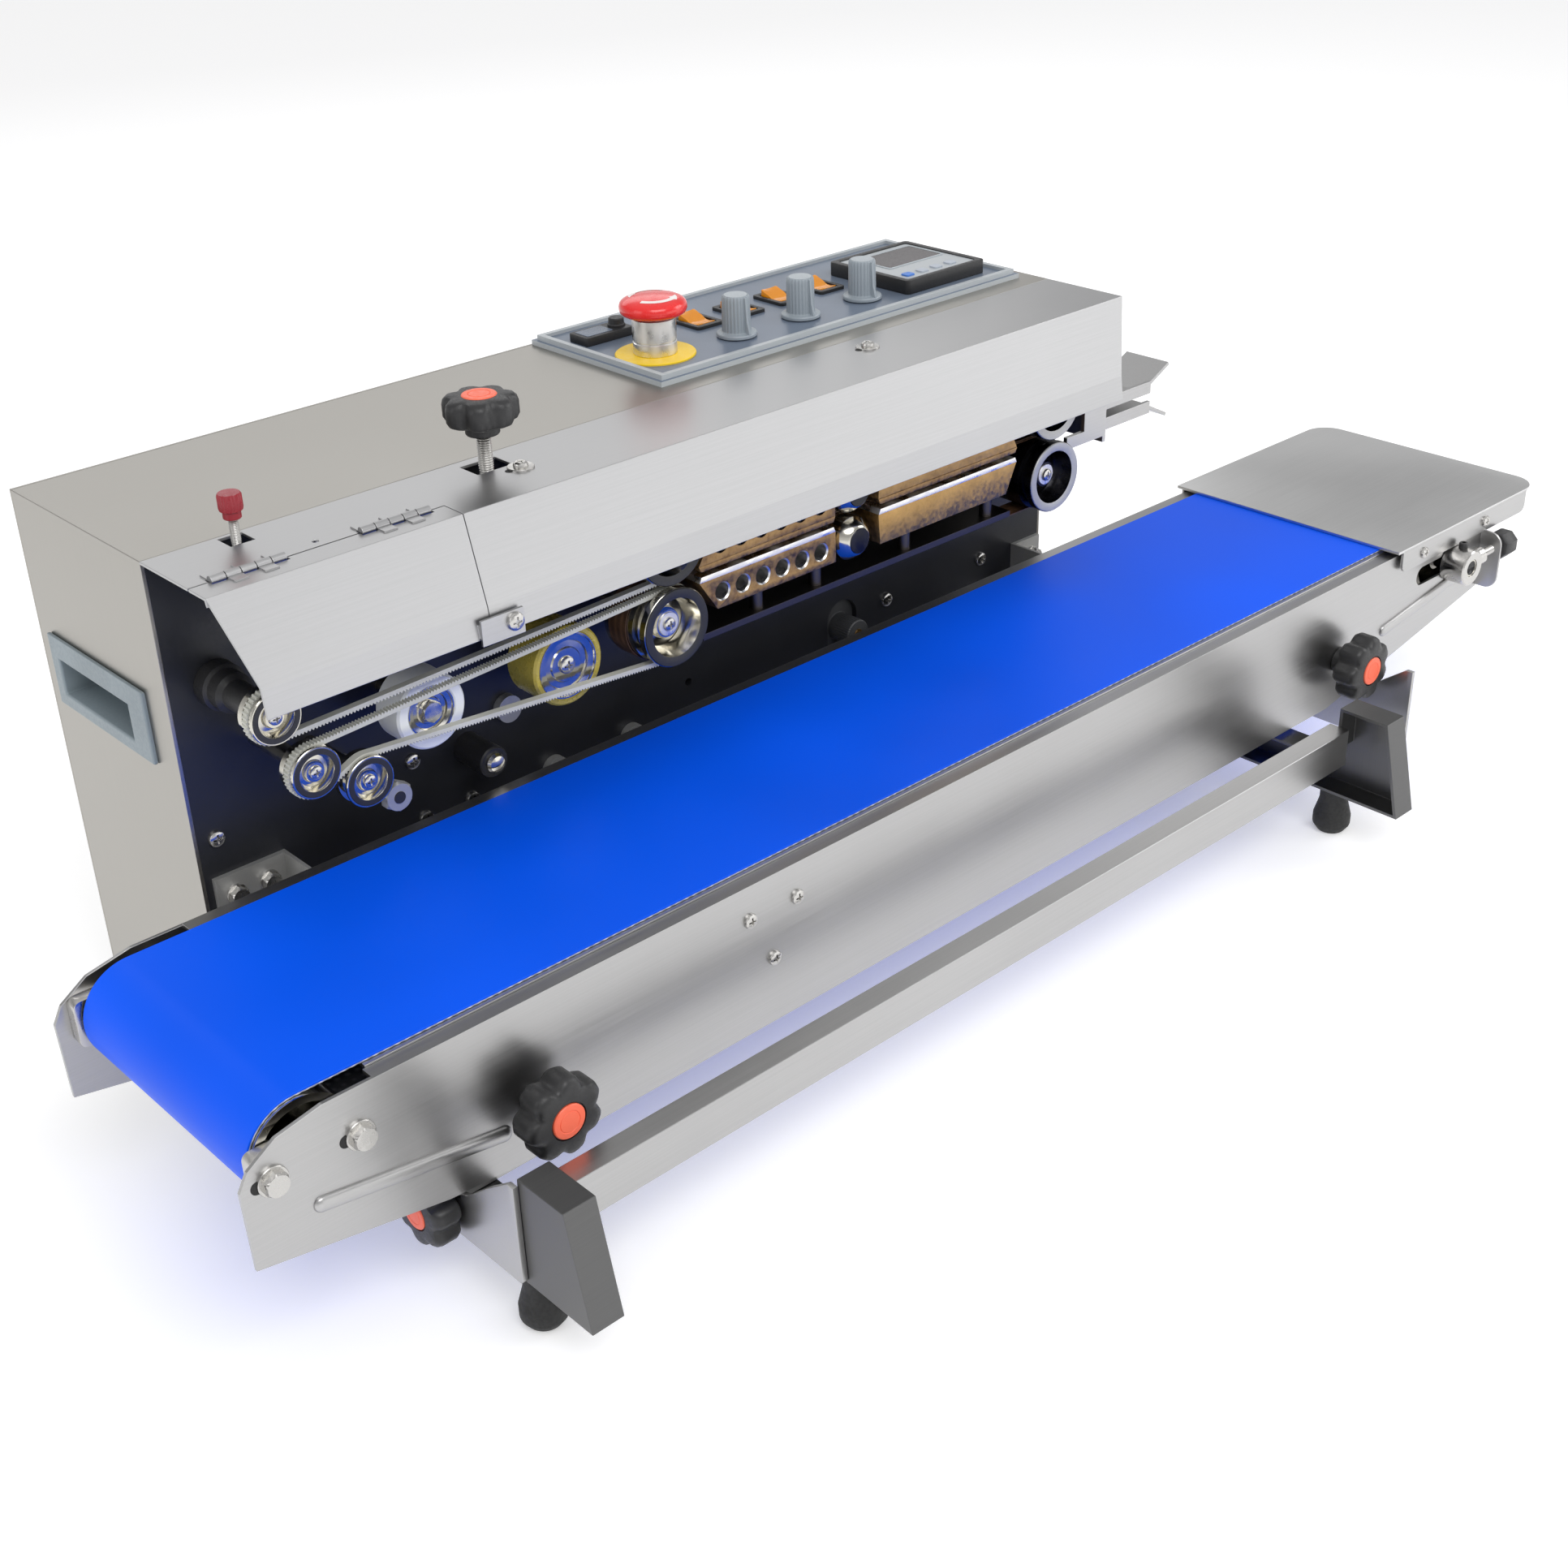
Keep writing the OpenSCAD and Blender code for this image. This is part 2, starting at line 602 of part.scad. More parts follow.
// ---------------------------------------------------------------- legs
module leg_outline() polygon([
    [leg_front_bottom, leg_bottom], [wall_y, leg_bottom], [wall_y, leg_low], [leg_hook + 12, leg_low],
    [leg_hook, leg_low + 10], [leg_hook, leg_top], [leg_front_top, leg_top]
]);
module leg_hollow() polygon([
    [leg_front_bottom + 2.6, leg_bottom + 2], [wall_y - 2, leg_bottom + 2], [wall_y - 2, leg_low - 2],
    [leg_hook + 11, leg_low - 2], [leg_hook - 2, leg_low + 9], [leg_hook - 2, leg_top - 2],
    [leg_front_top + 1.5, leg_top - 2]
]);
// folded channel with its web on the outer side
module leg(side) color("silver") translate([leg_mid + side * leg_half, 0, 0])
    mirror([side < 0 ? 1 : 0, 0, 0]) difference() {
        along_x(-leg_w / 2, leg_w / 2) leg_outline();
        along_x(-leg_w / 2 - 1, leg_w / 2 - 2) leg_hollow();
        // slot for the depth clamp
        box([leg_w / 2 - 3, depth_y - 14, depth_z - 4.3], [leg_w / 2 + 1, depth_y + 8, depth_z + 4.3]);
    }
module leg_left() leg(-1);
module leg_right() leg(1);

module front_rail() color("silver") difference() {
    along_x(leg_mid - leg_half + leg_w / 2, leg_mid + leg_half - leg_w / 2)
        polygon([[-178, 54], [-164, 54], [-164, 79], [-178, 79]]);
    along_x(leg_mid - leg_half, leg_mid + leg_half)
        polygon([[-176, 53], [-163, 53], [-163, 77], [-176, 77]]);
}

module rubber_feet() color([0.07, 0.07, 0.07]) {
    for (x = [leg_mid - leg_half, leg_mid + leg_half]) translate([x, -167, 0])
        rotate_extrude() polygon([[0, 0], [9, 0], [12, 5], [12, 12], [9, 22], [9, leg_bottom], [0, leg_bottom]]);
    for (x = [-395, 197]) translate([x, 195, 0])
        rotate_extrude() polygon([[0, 0], [9, 0], [12, 5], [12, 12], [9, 22], [9, body_z], [0, body_z]]);
}

// ---------------------------------------------------------------- conveyor
module conveyor_front_plate() color("silver") {
    difference() {
        union() {
            along_y(plate_f, plate_f + sheet_t) plate_outline();
            box([conv_x0 + 70, plate_f, plate_z1 - 2], [load_x0 + 60, plate_f + 9, plate_z1]);
        }
        plate_holes(plate_f - 1, plate_f + 3);
    }
}
module plate_outline() polygon([
    [conv_x0 + 1, 79], [conv_x0 + 100, 60], [conv_x0 + 140, plate_z0], [load_x0 - 62, plate_z0],
    [tail_x + 41, 90], [tail_x + 41, 138], [load_x0 + 60, plate_z1], [conv_x0 + 44, plate_z1],
    [conv_x0 + 20, 141], [conv_x0 + 5, 131], [conv_x0, 122]
]);
module plate_holes(y0, y1) {
    for (d = [-bolt_dx, bolt_dx]) ycyl(drive_x + d, roller_z, y0, y1, 3 + run);
    for (x = clamp_x) ycyl(x, clamp_z, y0, y1, 4 + run);
    // tensioning slot of the tail roller
    box([tail_x - 34, y0, roller_z - 6.6], [tail_x, y1, roller_z + 6.6]);
    for (x = [tail_x - 34, tail_x]) ycyl(x, roller_z, y0, y1, 6.6);
}

// back side plate and slider bed, folded in one sheet
module conveyor_bed() color("silver") {
    difference() {
        along_y(plate_b - sheet_t, plate_b) plate_outline();
        plate_holes(plate_b - 3, plate_b + 1);
        ycyl(drive_x, roller_z, plate_b - 3, plate_b + 1, 8);
    }
    bed_z = roller_z + roller_r - 2;
    difference() {
        union() {
            box([drive_x + 34, plate_f + sheet_t, bed_z], [tail_x - 48, plate_b - sheet_t, bed_z + 2]);
            for (x = cross_x) box([x - 6, plate_f + sheet_t, roller_z - 8], [x + 6, plate_b - sheet_t, bed_z]);
        }
        box([drive_x, plate_f, plate_z1 - 2.1], [tail_x, plate_f + 9.1, bed_z + 3]);
    }
}

module loading_plate() color("silver") {
    difference() {
        union() {
            box([load_x0, plate_f - 2, load_z - 2], [conv_x1, plate_b + 2, load_z]);
            box([load_x0 + 6, plate_f - 2, load_z - 17], [conv_x1 - 1, plate_f, load_z]);
            box([load_x0 + 6, plate_b, load_z - 17], [conv_x1 - 1, plate_b + 2, load_z]);
            box([conv_x1 - 3, plate_f + 20, load_z - 12], [conv_x1 - 1, plate_b - 20, load_z]);
        }
        for (y = [plate_f - 2, plate_b + 2]) translate([conv_x1, y, load_z - 20]) rotate(45)
            cube([22, 22, 50], center = true);
    }
    for (x = [tail_x - 43, tail_x + 34]) {
        ycyl(x, load_z - 9, plate_f - 4, plate_f - 2, 3.6);
        ycyl(x, load_z - 9, plate_b + 2, plate_b + 4, 3.6);
    }
}

module conveyor_belt() color([0, 0.3, 0.9])
    belt_loop([drive_x, roller_z], roller_r + belt_run, [tail_x, roller_z], roller_r + belt_run,
              belt_t, belt_mid - belt_w / 2, belt_mid + belt_w / 2);

module drum(x, shaft0, shaft1) translate([x, 0, roller_z]) rotate([-90, 0, 0]) difference() {
    union() {
        translate([0, 0, belt_mid - belt_w / 2 - 2]) cylinder(h = belt_w + 4, r = roller_r);
        translate([0, 0, shaft0]) cylinder(h = shaft1 - shaft0, r = 6);
    }
    for (y = [belt_mid - belt_w / 2 - 3, belt_mid + belt_w / 2 - 37]) translate([0, 0, y]) difference() {
        cylinder(h = 40, r = roller_r - 4);
        translate([0, 0, -1]) cylinder(h = 42, r = 8);
    }
}
module drive_roller() color("silver") drum(drive_x, plate_f + sheet_t + 1, plate_b + 12);
module tail_roller() color("silver") drum(tail_x, plate_f - 17, plate_b + 17);

// bearing housings of the drive roller, their bolts, and the screws of the slider bed
module conveyor_hardware() color("silver") {
    for (s = [-1, 1]) {
        y = s < 0 ? plate_f : plate_b;
        translate([drive_x, y, roller_z]) mirror([0, s < 0 ? 0 : 1, 0]) {
            difference() {
                box([-30, sheet_t, -13], [30, sheet_t + 7.4, 13]);
                ycyl(0, 0, 0, 12, 6 + run);
            }
            for (d = [-bolt_dx, bolt_dx]) {
                ycyl(d, 0, -1.5, 0, 7.5);
                ycyl(d, 0, -6, -1.5, 5.5);
                ycyl(d, 0, 0, sheet_t, 3);
            }
        }
    }
    for (p = [[-200, 126], [-232.5, 126], [-217, 96.5]]) ycyl(p[0], p[1], plate_f - 2.2, plate_f, 4);
}

// mirrors its children to both outer sides of the conveyor, drawn with the plate's face at y = 0
module both_sides() for (s = [-1, 1])
    translate([0, s < 0 ? plate_f : plate_b, 0]) mirror([0, s < 0 ? 1 : 0, 0]) children();

// shaft blocks at both ends of the tail roller
module tail_blocks() color("silver") both_sides() {
    difference() {
        union() {
            ycyl(tail_x, roller_z, 0.4, 18, 12.5);
            xcyl(tension_y, roller_z, tail_x + 9, tail_x + 24, 6.5);
        }
        ycyl(tail_x, roller_z, 0, 19, 6 + run);
        xcyl(tension_y, roller_z, tail_x + 8, tail_x + 25, 3 + run);
    }
    zcyl(tail_x, tension_y, roller_z + 12, roller_z + 17, 3);
}

// screws that pull the tail roller outwards, through tabs welded to the side plates
module tension_screws() color("silver") both_sides() {
    difference() {
        box([end_tab, 0, 92], [end_tab + 2, 16, 133]);
        xcyl(tension_y, roller_z, end_tab - 1, end_tab + 3, 3 + run);
    }
    xcyl(tension_y, roller_z, tail_x + 9.5, end_tab + 6, 3);
    xcyl(tension_y, roller_z, end_tab + 2.2, end_tab + 5, 5);
    xcyl(tension_y, roller_z, end_tab + 5, end_tab + 21, 9.5);
}

module y_star(x, z, y) translate([x, y, z]) rotate([90, 0, 0]) {
    star_grip(22, 18);
    translate([0, 0, -8]) cylinder(h = 8, r = 8);
    translate([0, 0, -17]) cylinder(h = 17, r = 4);
}
module clamp_knob(i) color([0.1, 0.1, 0.1]) y_star(clamp_x[i], clamp_z, plate_f - 8.2);

module depth_clamp() color([0.1, 0.1, 0.1])
    translate([leg_mid - leg_half - leg_w / 2 - tab_t - 0.4, depth_y, depth_z]) rotate([0, -90, 0]) {
        star_grip(20, 16);
        translate([0, 0, -12]) cylinder(h = 12, r = 4);
    }

// angle brackets that carry the conveyor on the legs
module carriage_brackets() color("silver") for (i = [0, 1]) {
    s = i == 0 ? -1 : 1;
    outer = leg_mid + s * (leg_half + leg_w / 2 + 0.2);
    far = outer + s * tab_t;
    inner = clamp_x[i] + 24;
    y0 = plate_f + sheet_t + 0.2;
    difference() {
        union() {
            box([min(far, inner), y0, leg_low + 0.5], [max(far, inner), y0 + tab_t, 132]);
            box([min(outer, far), leg_hook - 1, leg_bottom + 1], [max(outer, far), plate_f - 2, 88]);
            box([min(outer, far), plate_f - 3, leg_bottom + 1], [max(outer, far), y0 + 25, plate_z0 - 1]);
            box([min(outer, far), y0, leg_bottom + 1], [max(outer, far), y0 + 25, 78]);
        }
        box([clamp_x[i] - 4.3, y0 - 1, clamp_z - 4], [clamp_x[i] + 4.3, y0 + tab_t + 1, clamp_z + 14]);
        for (z = [clamp_z - 4, clamp_z + 14]) ycyl(clamp_x[i], z, y0 - 1, y0 + tab_t + 1, 4.3);
        if (i == 0) xcyl(depth_y, depth_z, far - 1, outer + 1, 4 + run);
    }
}

module drive_coupling() color([0.12, 0.12, 0.12]) {
    ycyl(coupling[0], coupling[1], 52, 100, 9);
    ycyl(coupling[0], coupling[1], 48, 52, 6);
}

base_plate();
wall_panel();
case_shell();
rear_panel();
side_handles();
guard_cover();
control_panel();
temp_controller();
switch_bezels();
estop_base();
wall_brackets();
leg_left();
leg_right();
front_rail();
rubber_feet();
wall_shelf();
heating_blocks();
cooling_blocks();
inlet_guide();
seal_bands();
guide_belts();
gearmotor();
electrics();
case_screws();
guard_flap();
estop_button();
rocker(0);  // rocker_1
rocker(1);  // rocker_2
rocker(2);  // rocker_3
rocker(3);  // rocker_4
dial_knob(0);  // dial_knob_1
dial_knob(1);  // dial_knob_2
dial_knob(2);  // dial_knob_3
pressure_screw();
guide_screw();
band_wheel(wheel_l, lower_z);  // lower_wheel_left
band_wheel(wheel_r, lower_z);  // lower_wheel_right
band_wheel(wheel_l, upper_z);  // upper_wheel_left
band_wheel(wheel_r, upper_z);  // upper_wheel_right
nylon_wheel();
press_wheel();
small_pulley(upper_pulley);  // upper_guide_pulley
small_pulley(lower_pulley);  // lower_guide_pulley
small_pulley(idler);  // guide_idler
nip_roller(low_nip_z());  // lower_nip_roller
nip_roller(up_nip_z());  // upper_nip_roller
conveyor_front_plate();
conveyor_bed();
loading_plate();
conveyor_belt();
conveyor_hardware();
drive_roller();
tail_roller();
tail_blocks();
tension_screws();
clamp_knob(0);  // clamp_knob_left
clamp_knob(1);  // clamp_knob_right
depth_clamp();
carriage_brackets();
drive_coupling();
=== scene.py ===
"""Continuous band sealer: the looks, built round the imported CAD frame.

Metres, Z up; profiles are in millimetres.
"""

import json
import math

import bmesh
import bpy
from mathutils import Matrix, Vector


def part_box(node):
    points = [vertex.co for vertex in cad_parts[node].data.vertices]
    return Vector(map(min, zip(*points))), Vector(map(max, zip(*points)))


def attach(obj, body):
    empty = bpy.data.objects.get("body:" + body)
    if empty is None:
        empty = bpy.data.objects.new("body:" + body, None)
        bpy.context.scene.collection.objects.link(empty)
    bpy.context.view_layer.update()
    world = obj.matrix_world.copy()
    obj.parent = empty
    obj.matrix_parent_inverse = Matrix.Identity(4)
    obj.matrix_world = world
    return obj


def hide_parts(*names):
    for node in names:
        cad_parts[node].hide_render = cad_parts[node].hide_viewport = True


MM = 0.001

# places that the CAD shares, in millimetres
TOP_Z = 320
PANEL_Z = 324
WALL_Y = 78
PLATE_F = -127.5
PLATE_B = 46.5
ROCKER_X = (-3, 31.5, 66, 100.5)
ROCKER_Y = 164
DIAL_X = (-4.3, 48.6, 102)
DIAL_Y = 125.5
WALL_SCREWS = ((-410.7, 164.7), (-292, 163.2), (-256.4, 125.5), (-287.6, 125.8), (73.9, 140.8),
               (164.7, 141.5))
CLAMP_X = {"left": -371, "right": 289.5}
CLAMP_Z = 91
DEPTH_CLAMP = (-416.9, -109, 46)

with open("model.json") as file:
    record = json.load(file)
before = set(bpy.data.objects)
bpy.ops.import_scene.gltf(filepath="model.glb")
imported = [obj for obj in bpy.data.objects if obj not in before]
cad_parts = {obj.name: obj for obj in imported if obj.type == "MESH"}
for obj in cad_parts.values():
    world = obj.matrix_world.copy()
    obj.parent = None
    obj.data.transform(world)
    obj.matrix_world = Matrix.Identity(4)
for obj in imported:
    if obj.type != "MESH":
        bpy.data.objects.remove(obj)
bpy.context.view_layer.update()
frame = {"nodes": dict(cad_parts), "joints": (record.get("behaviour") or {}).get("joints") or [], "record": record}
NODES = frame["nodes"]
BODY_OF = {n: b for b, ns in frame["record"]["behaviour"]["bodies"].items() for n in ns}
SLOT_OF = {s["node"]: s["material_slot"] for s in frame["record"]["subparts"]}
JOINT_AT = {j["child"]: Vector(j["pos_m"]) for j in frame["joints"] if "pos_m" in j}


# ------------------------------------------------------------------ camera, light, floor

CAMERA_AT = Vector((-0.805, -0.789, 0.689))
AZIMUTH, ELEVATION, ROLL = (math.radians(a) for a in (-42.14, 29.01, -1.79))
LENS = 47.36
LIGHTS_AIM = Vector((0, 0, 0.15))


def make_camera():
    back = Vector((math.sin(AZIMUTH) * math.cos(ELEVATION), -math.cos(AZIMUTH) * math.cos(ELEVATION),
                   math.sin(ELEVATION)))
    level = Vector((math.cos(AZIMUTH), math.sin(AZIMUTH), 0))
    right = level * math.cos(ROLL) + back.cross(level) * math.sin(ROLL)
    turn = Matrix((right, back.cross(right), back)).transposed()
    data = bpy.data.cameras.new("camera")
    data.lens = LENS
    data.sensor_width = 36
    data.clip_end = 60
    camera = bpy.data.objects.new("camera", data)
    camera.matrix_world = Matrix.Translation(CAMERA_AT) @ turn.to_4x4()
    bpy.context.scene.collection.objects.link(camera)
    bpy.context.scene.camera = camera


def softbox(name, at, size, watts):
    data = bpy.data.lights.new(name, "AREA")
    data.shape = "RECTANGLE"
    data.size, data.size_y = size
    data.energy = watts
    lamp = bpy.data.objects.new(name, data)
    lamp.location = at
    lamp.rotation_mode = "QUATERNION"
    lamp.rotation_quaternion = (Vector(at) - LIGHTS_AIM).to_track_quat("Z", "Y")
    bpy.context.scene.collection.objects.link(lamp)


def make_studio():
    softbox("key", (-0.7, -1.7, 2.1), (2.0, 1.2), 30)
    softbox("side", (-2.2, 0.3, 1.2), (1.2, 1.2), 6)
    softbox("far", (1.9, -0.9, 1.3), (1.2, 1.0), 12)
    softbox("rear", (0.9, 2.2, 1.5), (2.6, 0.8), 7)
    softbox("front", (1.4, -2.1, 0.5), (2.6, 0.8), 6.5)
    world = bpy.data.worlds.new("studio")
    bpy.context.scene.world = world
    world.use_nodes = True
    tree = world.node_tree
    coords = tree.nodes.new("ShaderNodeTexCoord")
    split = tree.nodes.new("ShaderNodeSeparateXYZ")
    sky = tree.nodes.new("ShaderNodeValToRGB")
    tree.links.new(coords.outputs["Generated"], split.inputs[0])
    tree.links.new(split.outputs["Z"], sky.inputs[0])
    tree.links.new(sky.outputs[0], tree.nodes["Background"].inputs["Color"])
    stops = sky.color_ramp.elements
    stops[0].position, stops[0].color = 0.0, (0.95, 0.95, 0.95, 1)
    stops[1].position, stops[1].color = 1.0, (1, 1, 1, 1)
    for place, grey in ((0.12, 0.9), (0.3, 0.6), (0.5, 0.46), (0.75, 0.85)):
        stops.new(place).color = (grey, grey, grey * 1.01, 1)
    graded = tree.nodes["Background"]
    graded.inputs["Strength"].default_value = 0.85
    backdrop = tree.nodes.new("ShaderNodeBackground")
    chooser = tree.nodes.new("ShaderNodeMixShader")
    rays = tree.nodes.new("ShaderNodeLightPath")
    backdrop.inputs["Color"].default_value = (1, 1, 1, 1)
    tree.links.new(rays.outputs["Is Camera Ray"], chooser.inputs[0])
    tree.links.new(graded.outputs[0], chooser.inputs[1])
    tree.links.new(backdrop.outputs[0], chooser.inputs[2])
    tree.links.new(chooser.outputs[0], tree.nodes["World Output"].inputs["Surface"])
    bpy.context.scene.view_settings.view_transform = "Standard"


def make_floor():
    mesh = bpy.data.meshes.new("floor")
    far = 14
    mesh.from_pydata([(-far, -far, 0), (far, -far, 0), (far, far, 0), (-far, far, 0)], [], [(0, 1, 2, 3)])
    floor = bpy.data.objects.new("floor", mesh)
    bpy.context.scene.collection.objects.link(floor)
    mat, _, _ = new_material("floor", (0.88, 0.88, 0.88), roughness=0.8, Emission_Color=(1, 1, 1, 1),
                             Emission_Strength=0.3)
    mesh.materials.append(mat)


# ------------------------------------------------------------------ materials

def new_material(name, color, metallic=0.0, roughness=0.5, **extra):
    mat = bpy.data.materials.new(name)
    mat.use_nodes = True
    shader = mat.node_tree.nodes["Principled BSDF"]
    shader.inputs["Base Color"].default_value = (*color, 1)
    shader.inputs["Metallic"].default_value = metallic
    shader.inputs["Roughness"].default_value = roughness
    for socket, value in extra.items():
        shader.inputs[socket.replace("_", " ")].default_value = value
    return mat, mat.node_tree, shader


def noise(tree, scale, stretch=(1, 1, 1), detail=3.0):
    """A noise value in the object's own metres; stretch below 1 draws it out along that axis."""
    coords = tree.nodes.new("ShaderNodeTexCoord")
    mapping = tree.nodes.new("ShaderNodeMapping")
    texture = tree.nodes.new("ShaderNodeTexNoise")
    mapping.inputs["Scale"].default_value = stretch
    texture.inputs["Scale"].default_value = scale
    texture.inputs["Detail"].default_value = detail
    tree.links.new(coords.outputs["Object"], mapping.inputs["Vector"])
    tree.links.new(mapping.outputs["Vector"], texture.inputs["Vector"])
    return texture.outputs["Fac"]


def remap(tree, value, low, high, start=0.35, end=0.65):
    node = tree.nodes.new("ShaderNodeMapRange")
    tree.links.new(value, node.inputs["Value"])
    for socket, number in (("From Min", start), ("From Max", end), ("To Min", low), ("To Max", high)):
        node.inputs[socket].default_value = number
    return node.outputs["Result"]


def combine(tree, operation, a, b):
    node = tree.nodes.new("ShaderNodeMath")
    node.operation = operation
    for socket, value in zip(node.inputs, (a, b)):
        if isinstance(value, (int, float)):
            socket.default_value = value
        else:
            tree.links.new(value, socket)
    return node.outputs[0]


def blend(tree, factor, dark, light):
    node = tree.nodes.new("ShaderNodeMix")
    node.data_type = "RGBA"
    tree.links.new(factor, node.inputs["Factor"])
    for socket, color in ((node.inputs[6], dark), (node.inputs[7], light)):
        if isinstance(color, (tuple, list)):
            socket.default_value = (*color, 1)
        else:
            tree.links.new(color, socket)
    return node.outputs[2]


def bump(tree, shader, height, strength, depth):
    node = tree.nodes.new("ShaderNodeBump")
    node.inputs["Strength"].default_value = strength
    node.inputs["Distance"].default_value = depth
    tree.links.new(height, node.inputs["Height"])
    tree.links.new(node.outputs["Normal"], shader.inputs["Normal"])


def shade(color, factor):
    return tuple(min(1.0, c * factor) for c in color)


def tint(tree, shader, factor, color, low, high):
    """Base colour between a darker and a lighter shade of one colour."""
    mixed = blend(tree, factor, shade(color, low), shade(color, high))
    tree.links.new(mixed, shader.inputs["Base Color"])


def facing(tree, axis):
    """How squarely the surface faces along an axis, from -1 to 1."""
    geometry = tree.nodes.new("ShaderNodeNewGeometry")
    split = tree.nodes.new("ShaderNodeSeparateXYZ")
    tree.links.new(geometry.outputs["Normal"], split.inputs[0])
    return split.outputs[axis]


def steel(name, color, rough=0.33):
    """Brushed sheet: the grain runs along X, and up and down on the ends."""
    mat, tree, shader = new_material(name, color, metallic=1.0, roughness=rough)
    along = noise(tree, 1.0, (14, 1300, 1300), 3)
    upright = noise(tree, 1.0, (1300, 1300, 14), 3)
    on_end = combine(tree, "GREATER_THAN", combine(tree, "ABSOLUTE", facing(tree, "X"), 0), 0.7)
    grain = combine(tree, "ADD", combine(tree, "MULTIPLY", along, combine(tree, "SUBTRACT", 1, on_end)),
                    combine(tree, "MULTIPLY", upright, on_end))
    cloud = noise(tree, 9.0, detail=3)
    wear = combine(tree, "ADD", combine(tree, "MULTIPLY", grain, 0.5), combine(tree, "MULTIPLY", cloud, 0.5))
    tint(tree, shader, remap(tree, wear, 0, 1), color, 0.95, 1.05)
    tree.links.new(remap(tree, wear, rough - 0.03, rough + 0.05), shader.inputs["Roughness"])
    bump(tree, shader, grain, 0.04, 0.00003)
    return mat


def polished(name, color, rough):
    """Turned and plated metal with a little haze."""
    mat, tree, shader = new_material(name, color, metallic=1.0, roughness=rough)
    haze = noise(tree, 90.0, detail=3)
    tree.links.new(remap(tree, haze, rough * 0.6, rough * 1.9), shader.inputs["Roughness"])
    tint(tree, shader, haze, color, 0.93, 1.04)
    return mat


def moulded(name, color, rough=0.45, grain=900.0, depth=0.00008, variation=0.06, **extra):
    """Moulded plastic, rubber or paint with a fine surface texture and slight colour drift."""
    mat, tree, shader = new_material(name, color, roughness=rough, **extra)
    fine = noise(tree, grain, detail=2)
    drift = noise(tree, 25.0, detail=2)
    tint(tree, shader, remap(tree, drift, 0, 1), color, 1 - variation, 1 + variation)
    tree.links.new(remap(tree, fine, max(0.02, rough - 0.06), rough + 0.08), shader.inputs["Roughness"])
    bump(tree, shader, fine, 0.35, depth)
    return mat


def brassy(name, color, tarnish):
    mat, tree, shader = new_material(name, color, metallic=1.0, roughness=0.38)
    speck = noise(tree, 420.0, detail=5)
    streak = noise(tree, 1.0, (60, 60, 900), 3)
    patina = remap(tree, combine(tree, "ADD", combine(tree, "MULTIPLY", speck, 0.55),
                                 combine(tree, "MULTIPLY", streak, 0.45)), 0, 1)
    tree.links.new(blend(tree, patina, tarnish, color), shader.inputs["Base Color"])
    tree.links.new(remap(tree, speck, 0.3, 0.55), shader.inputs["Roughness"])
    bump(tree, shader, speck, 0.25, 0.0002)
    return mat


def woven(name, dark, light, pitch, rough=0.5):
    """Two crossing thread waves, for the sealing bands and the belt's fabric side."""
    mat, tree, shader = new_material(name, light, roughness=rough)
    coords = tree.nodes.new("ShaderNodeTexCoord")
    threads = []
    for direction in ("X", "Y"):
        wave = tree.nodes.new("ShaderNodeTexWave")
        wave.bands_direction = direction
        wave.inputs["Scale"].default_value = 1 / (pitch * MM * 20)
        wave.inputs["Distortion"].default_value = 0.4
        tree.links.new(coords.outputs["Object"], wave.inputs["Vector"])
        threads.append(wave.outputs["Fac"])
    cloth = combine(tree, "MULTIPLY", *threads)
    stain = remap(tree, noise(tree, 30.0, (1, 4, 4)), 0, 0.5)
    shown = combine(tree, "MAXIMUM", cloth, stain)
    tree.links.new(blend(tree, shown, dark, light), shader.inputs["Base Color"])
    bump(tree, shader, cloth, 0.3, 0.0002)
    return mat


def belt_blue(name, color):
    """Smooth belt cover: a very fine pebble, and broad patches of slightly different gloss."""
    mat, tree, shader = new_material(name, color, roughness=0.42, Specular_IOR_Level=0.16)
    pebble = noise(tree, 700.0, detail=2)
    patch = noise(tree, 4.0, detail=2)
    tint(tree, shader, remap(tree, patch, 0, 1), color, 0.86, 1.1)
    tree.links.new(remap(tree, patch, 0.36, 0.5), shader.inputs["Roughness"])
    bump(tree, shader, pebble, 0.12, 0.0001)
    return mat


def panel_skin(name, face, rim):
    """One moulding in two greys: the sunk face, and the rim with every sloping or upright edge."""
    mat, tree, shader = new_material(name, face, roughness=0.32)
    coords = tree.nodes.new("ShaderNodeTexCoord")
    split = tree.nodes.new("ShaderNodeSeparateXYZ")
    tree.links.new(coords.outputs["Object"], split.inputs[0])
    above = combine(tree, "GREATER_THAN", split.outputs["Z"], (PANEL_Z + 0.4) * MM)
    raised = combine(tree, "MAXIMUM", above, combine(tree, "LESS_THAN", facing(tree, "Z"), 0.95))
    drift = noise(tree, 18.0, detail=2)
    lower = blend(tree, remap(tree, drift, 0, 1), shade(face, 0.92), shade(face, 1.08))
    tree.links.new(blend(tree, raised, lower, rim), shader.inputs["Base Color"])
    bump(tree, shader, noise(tree, 900.0, detail=2), 0.25, 0.00004)
    return mat


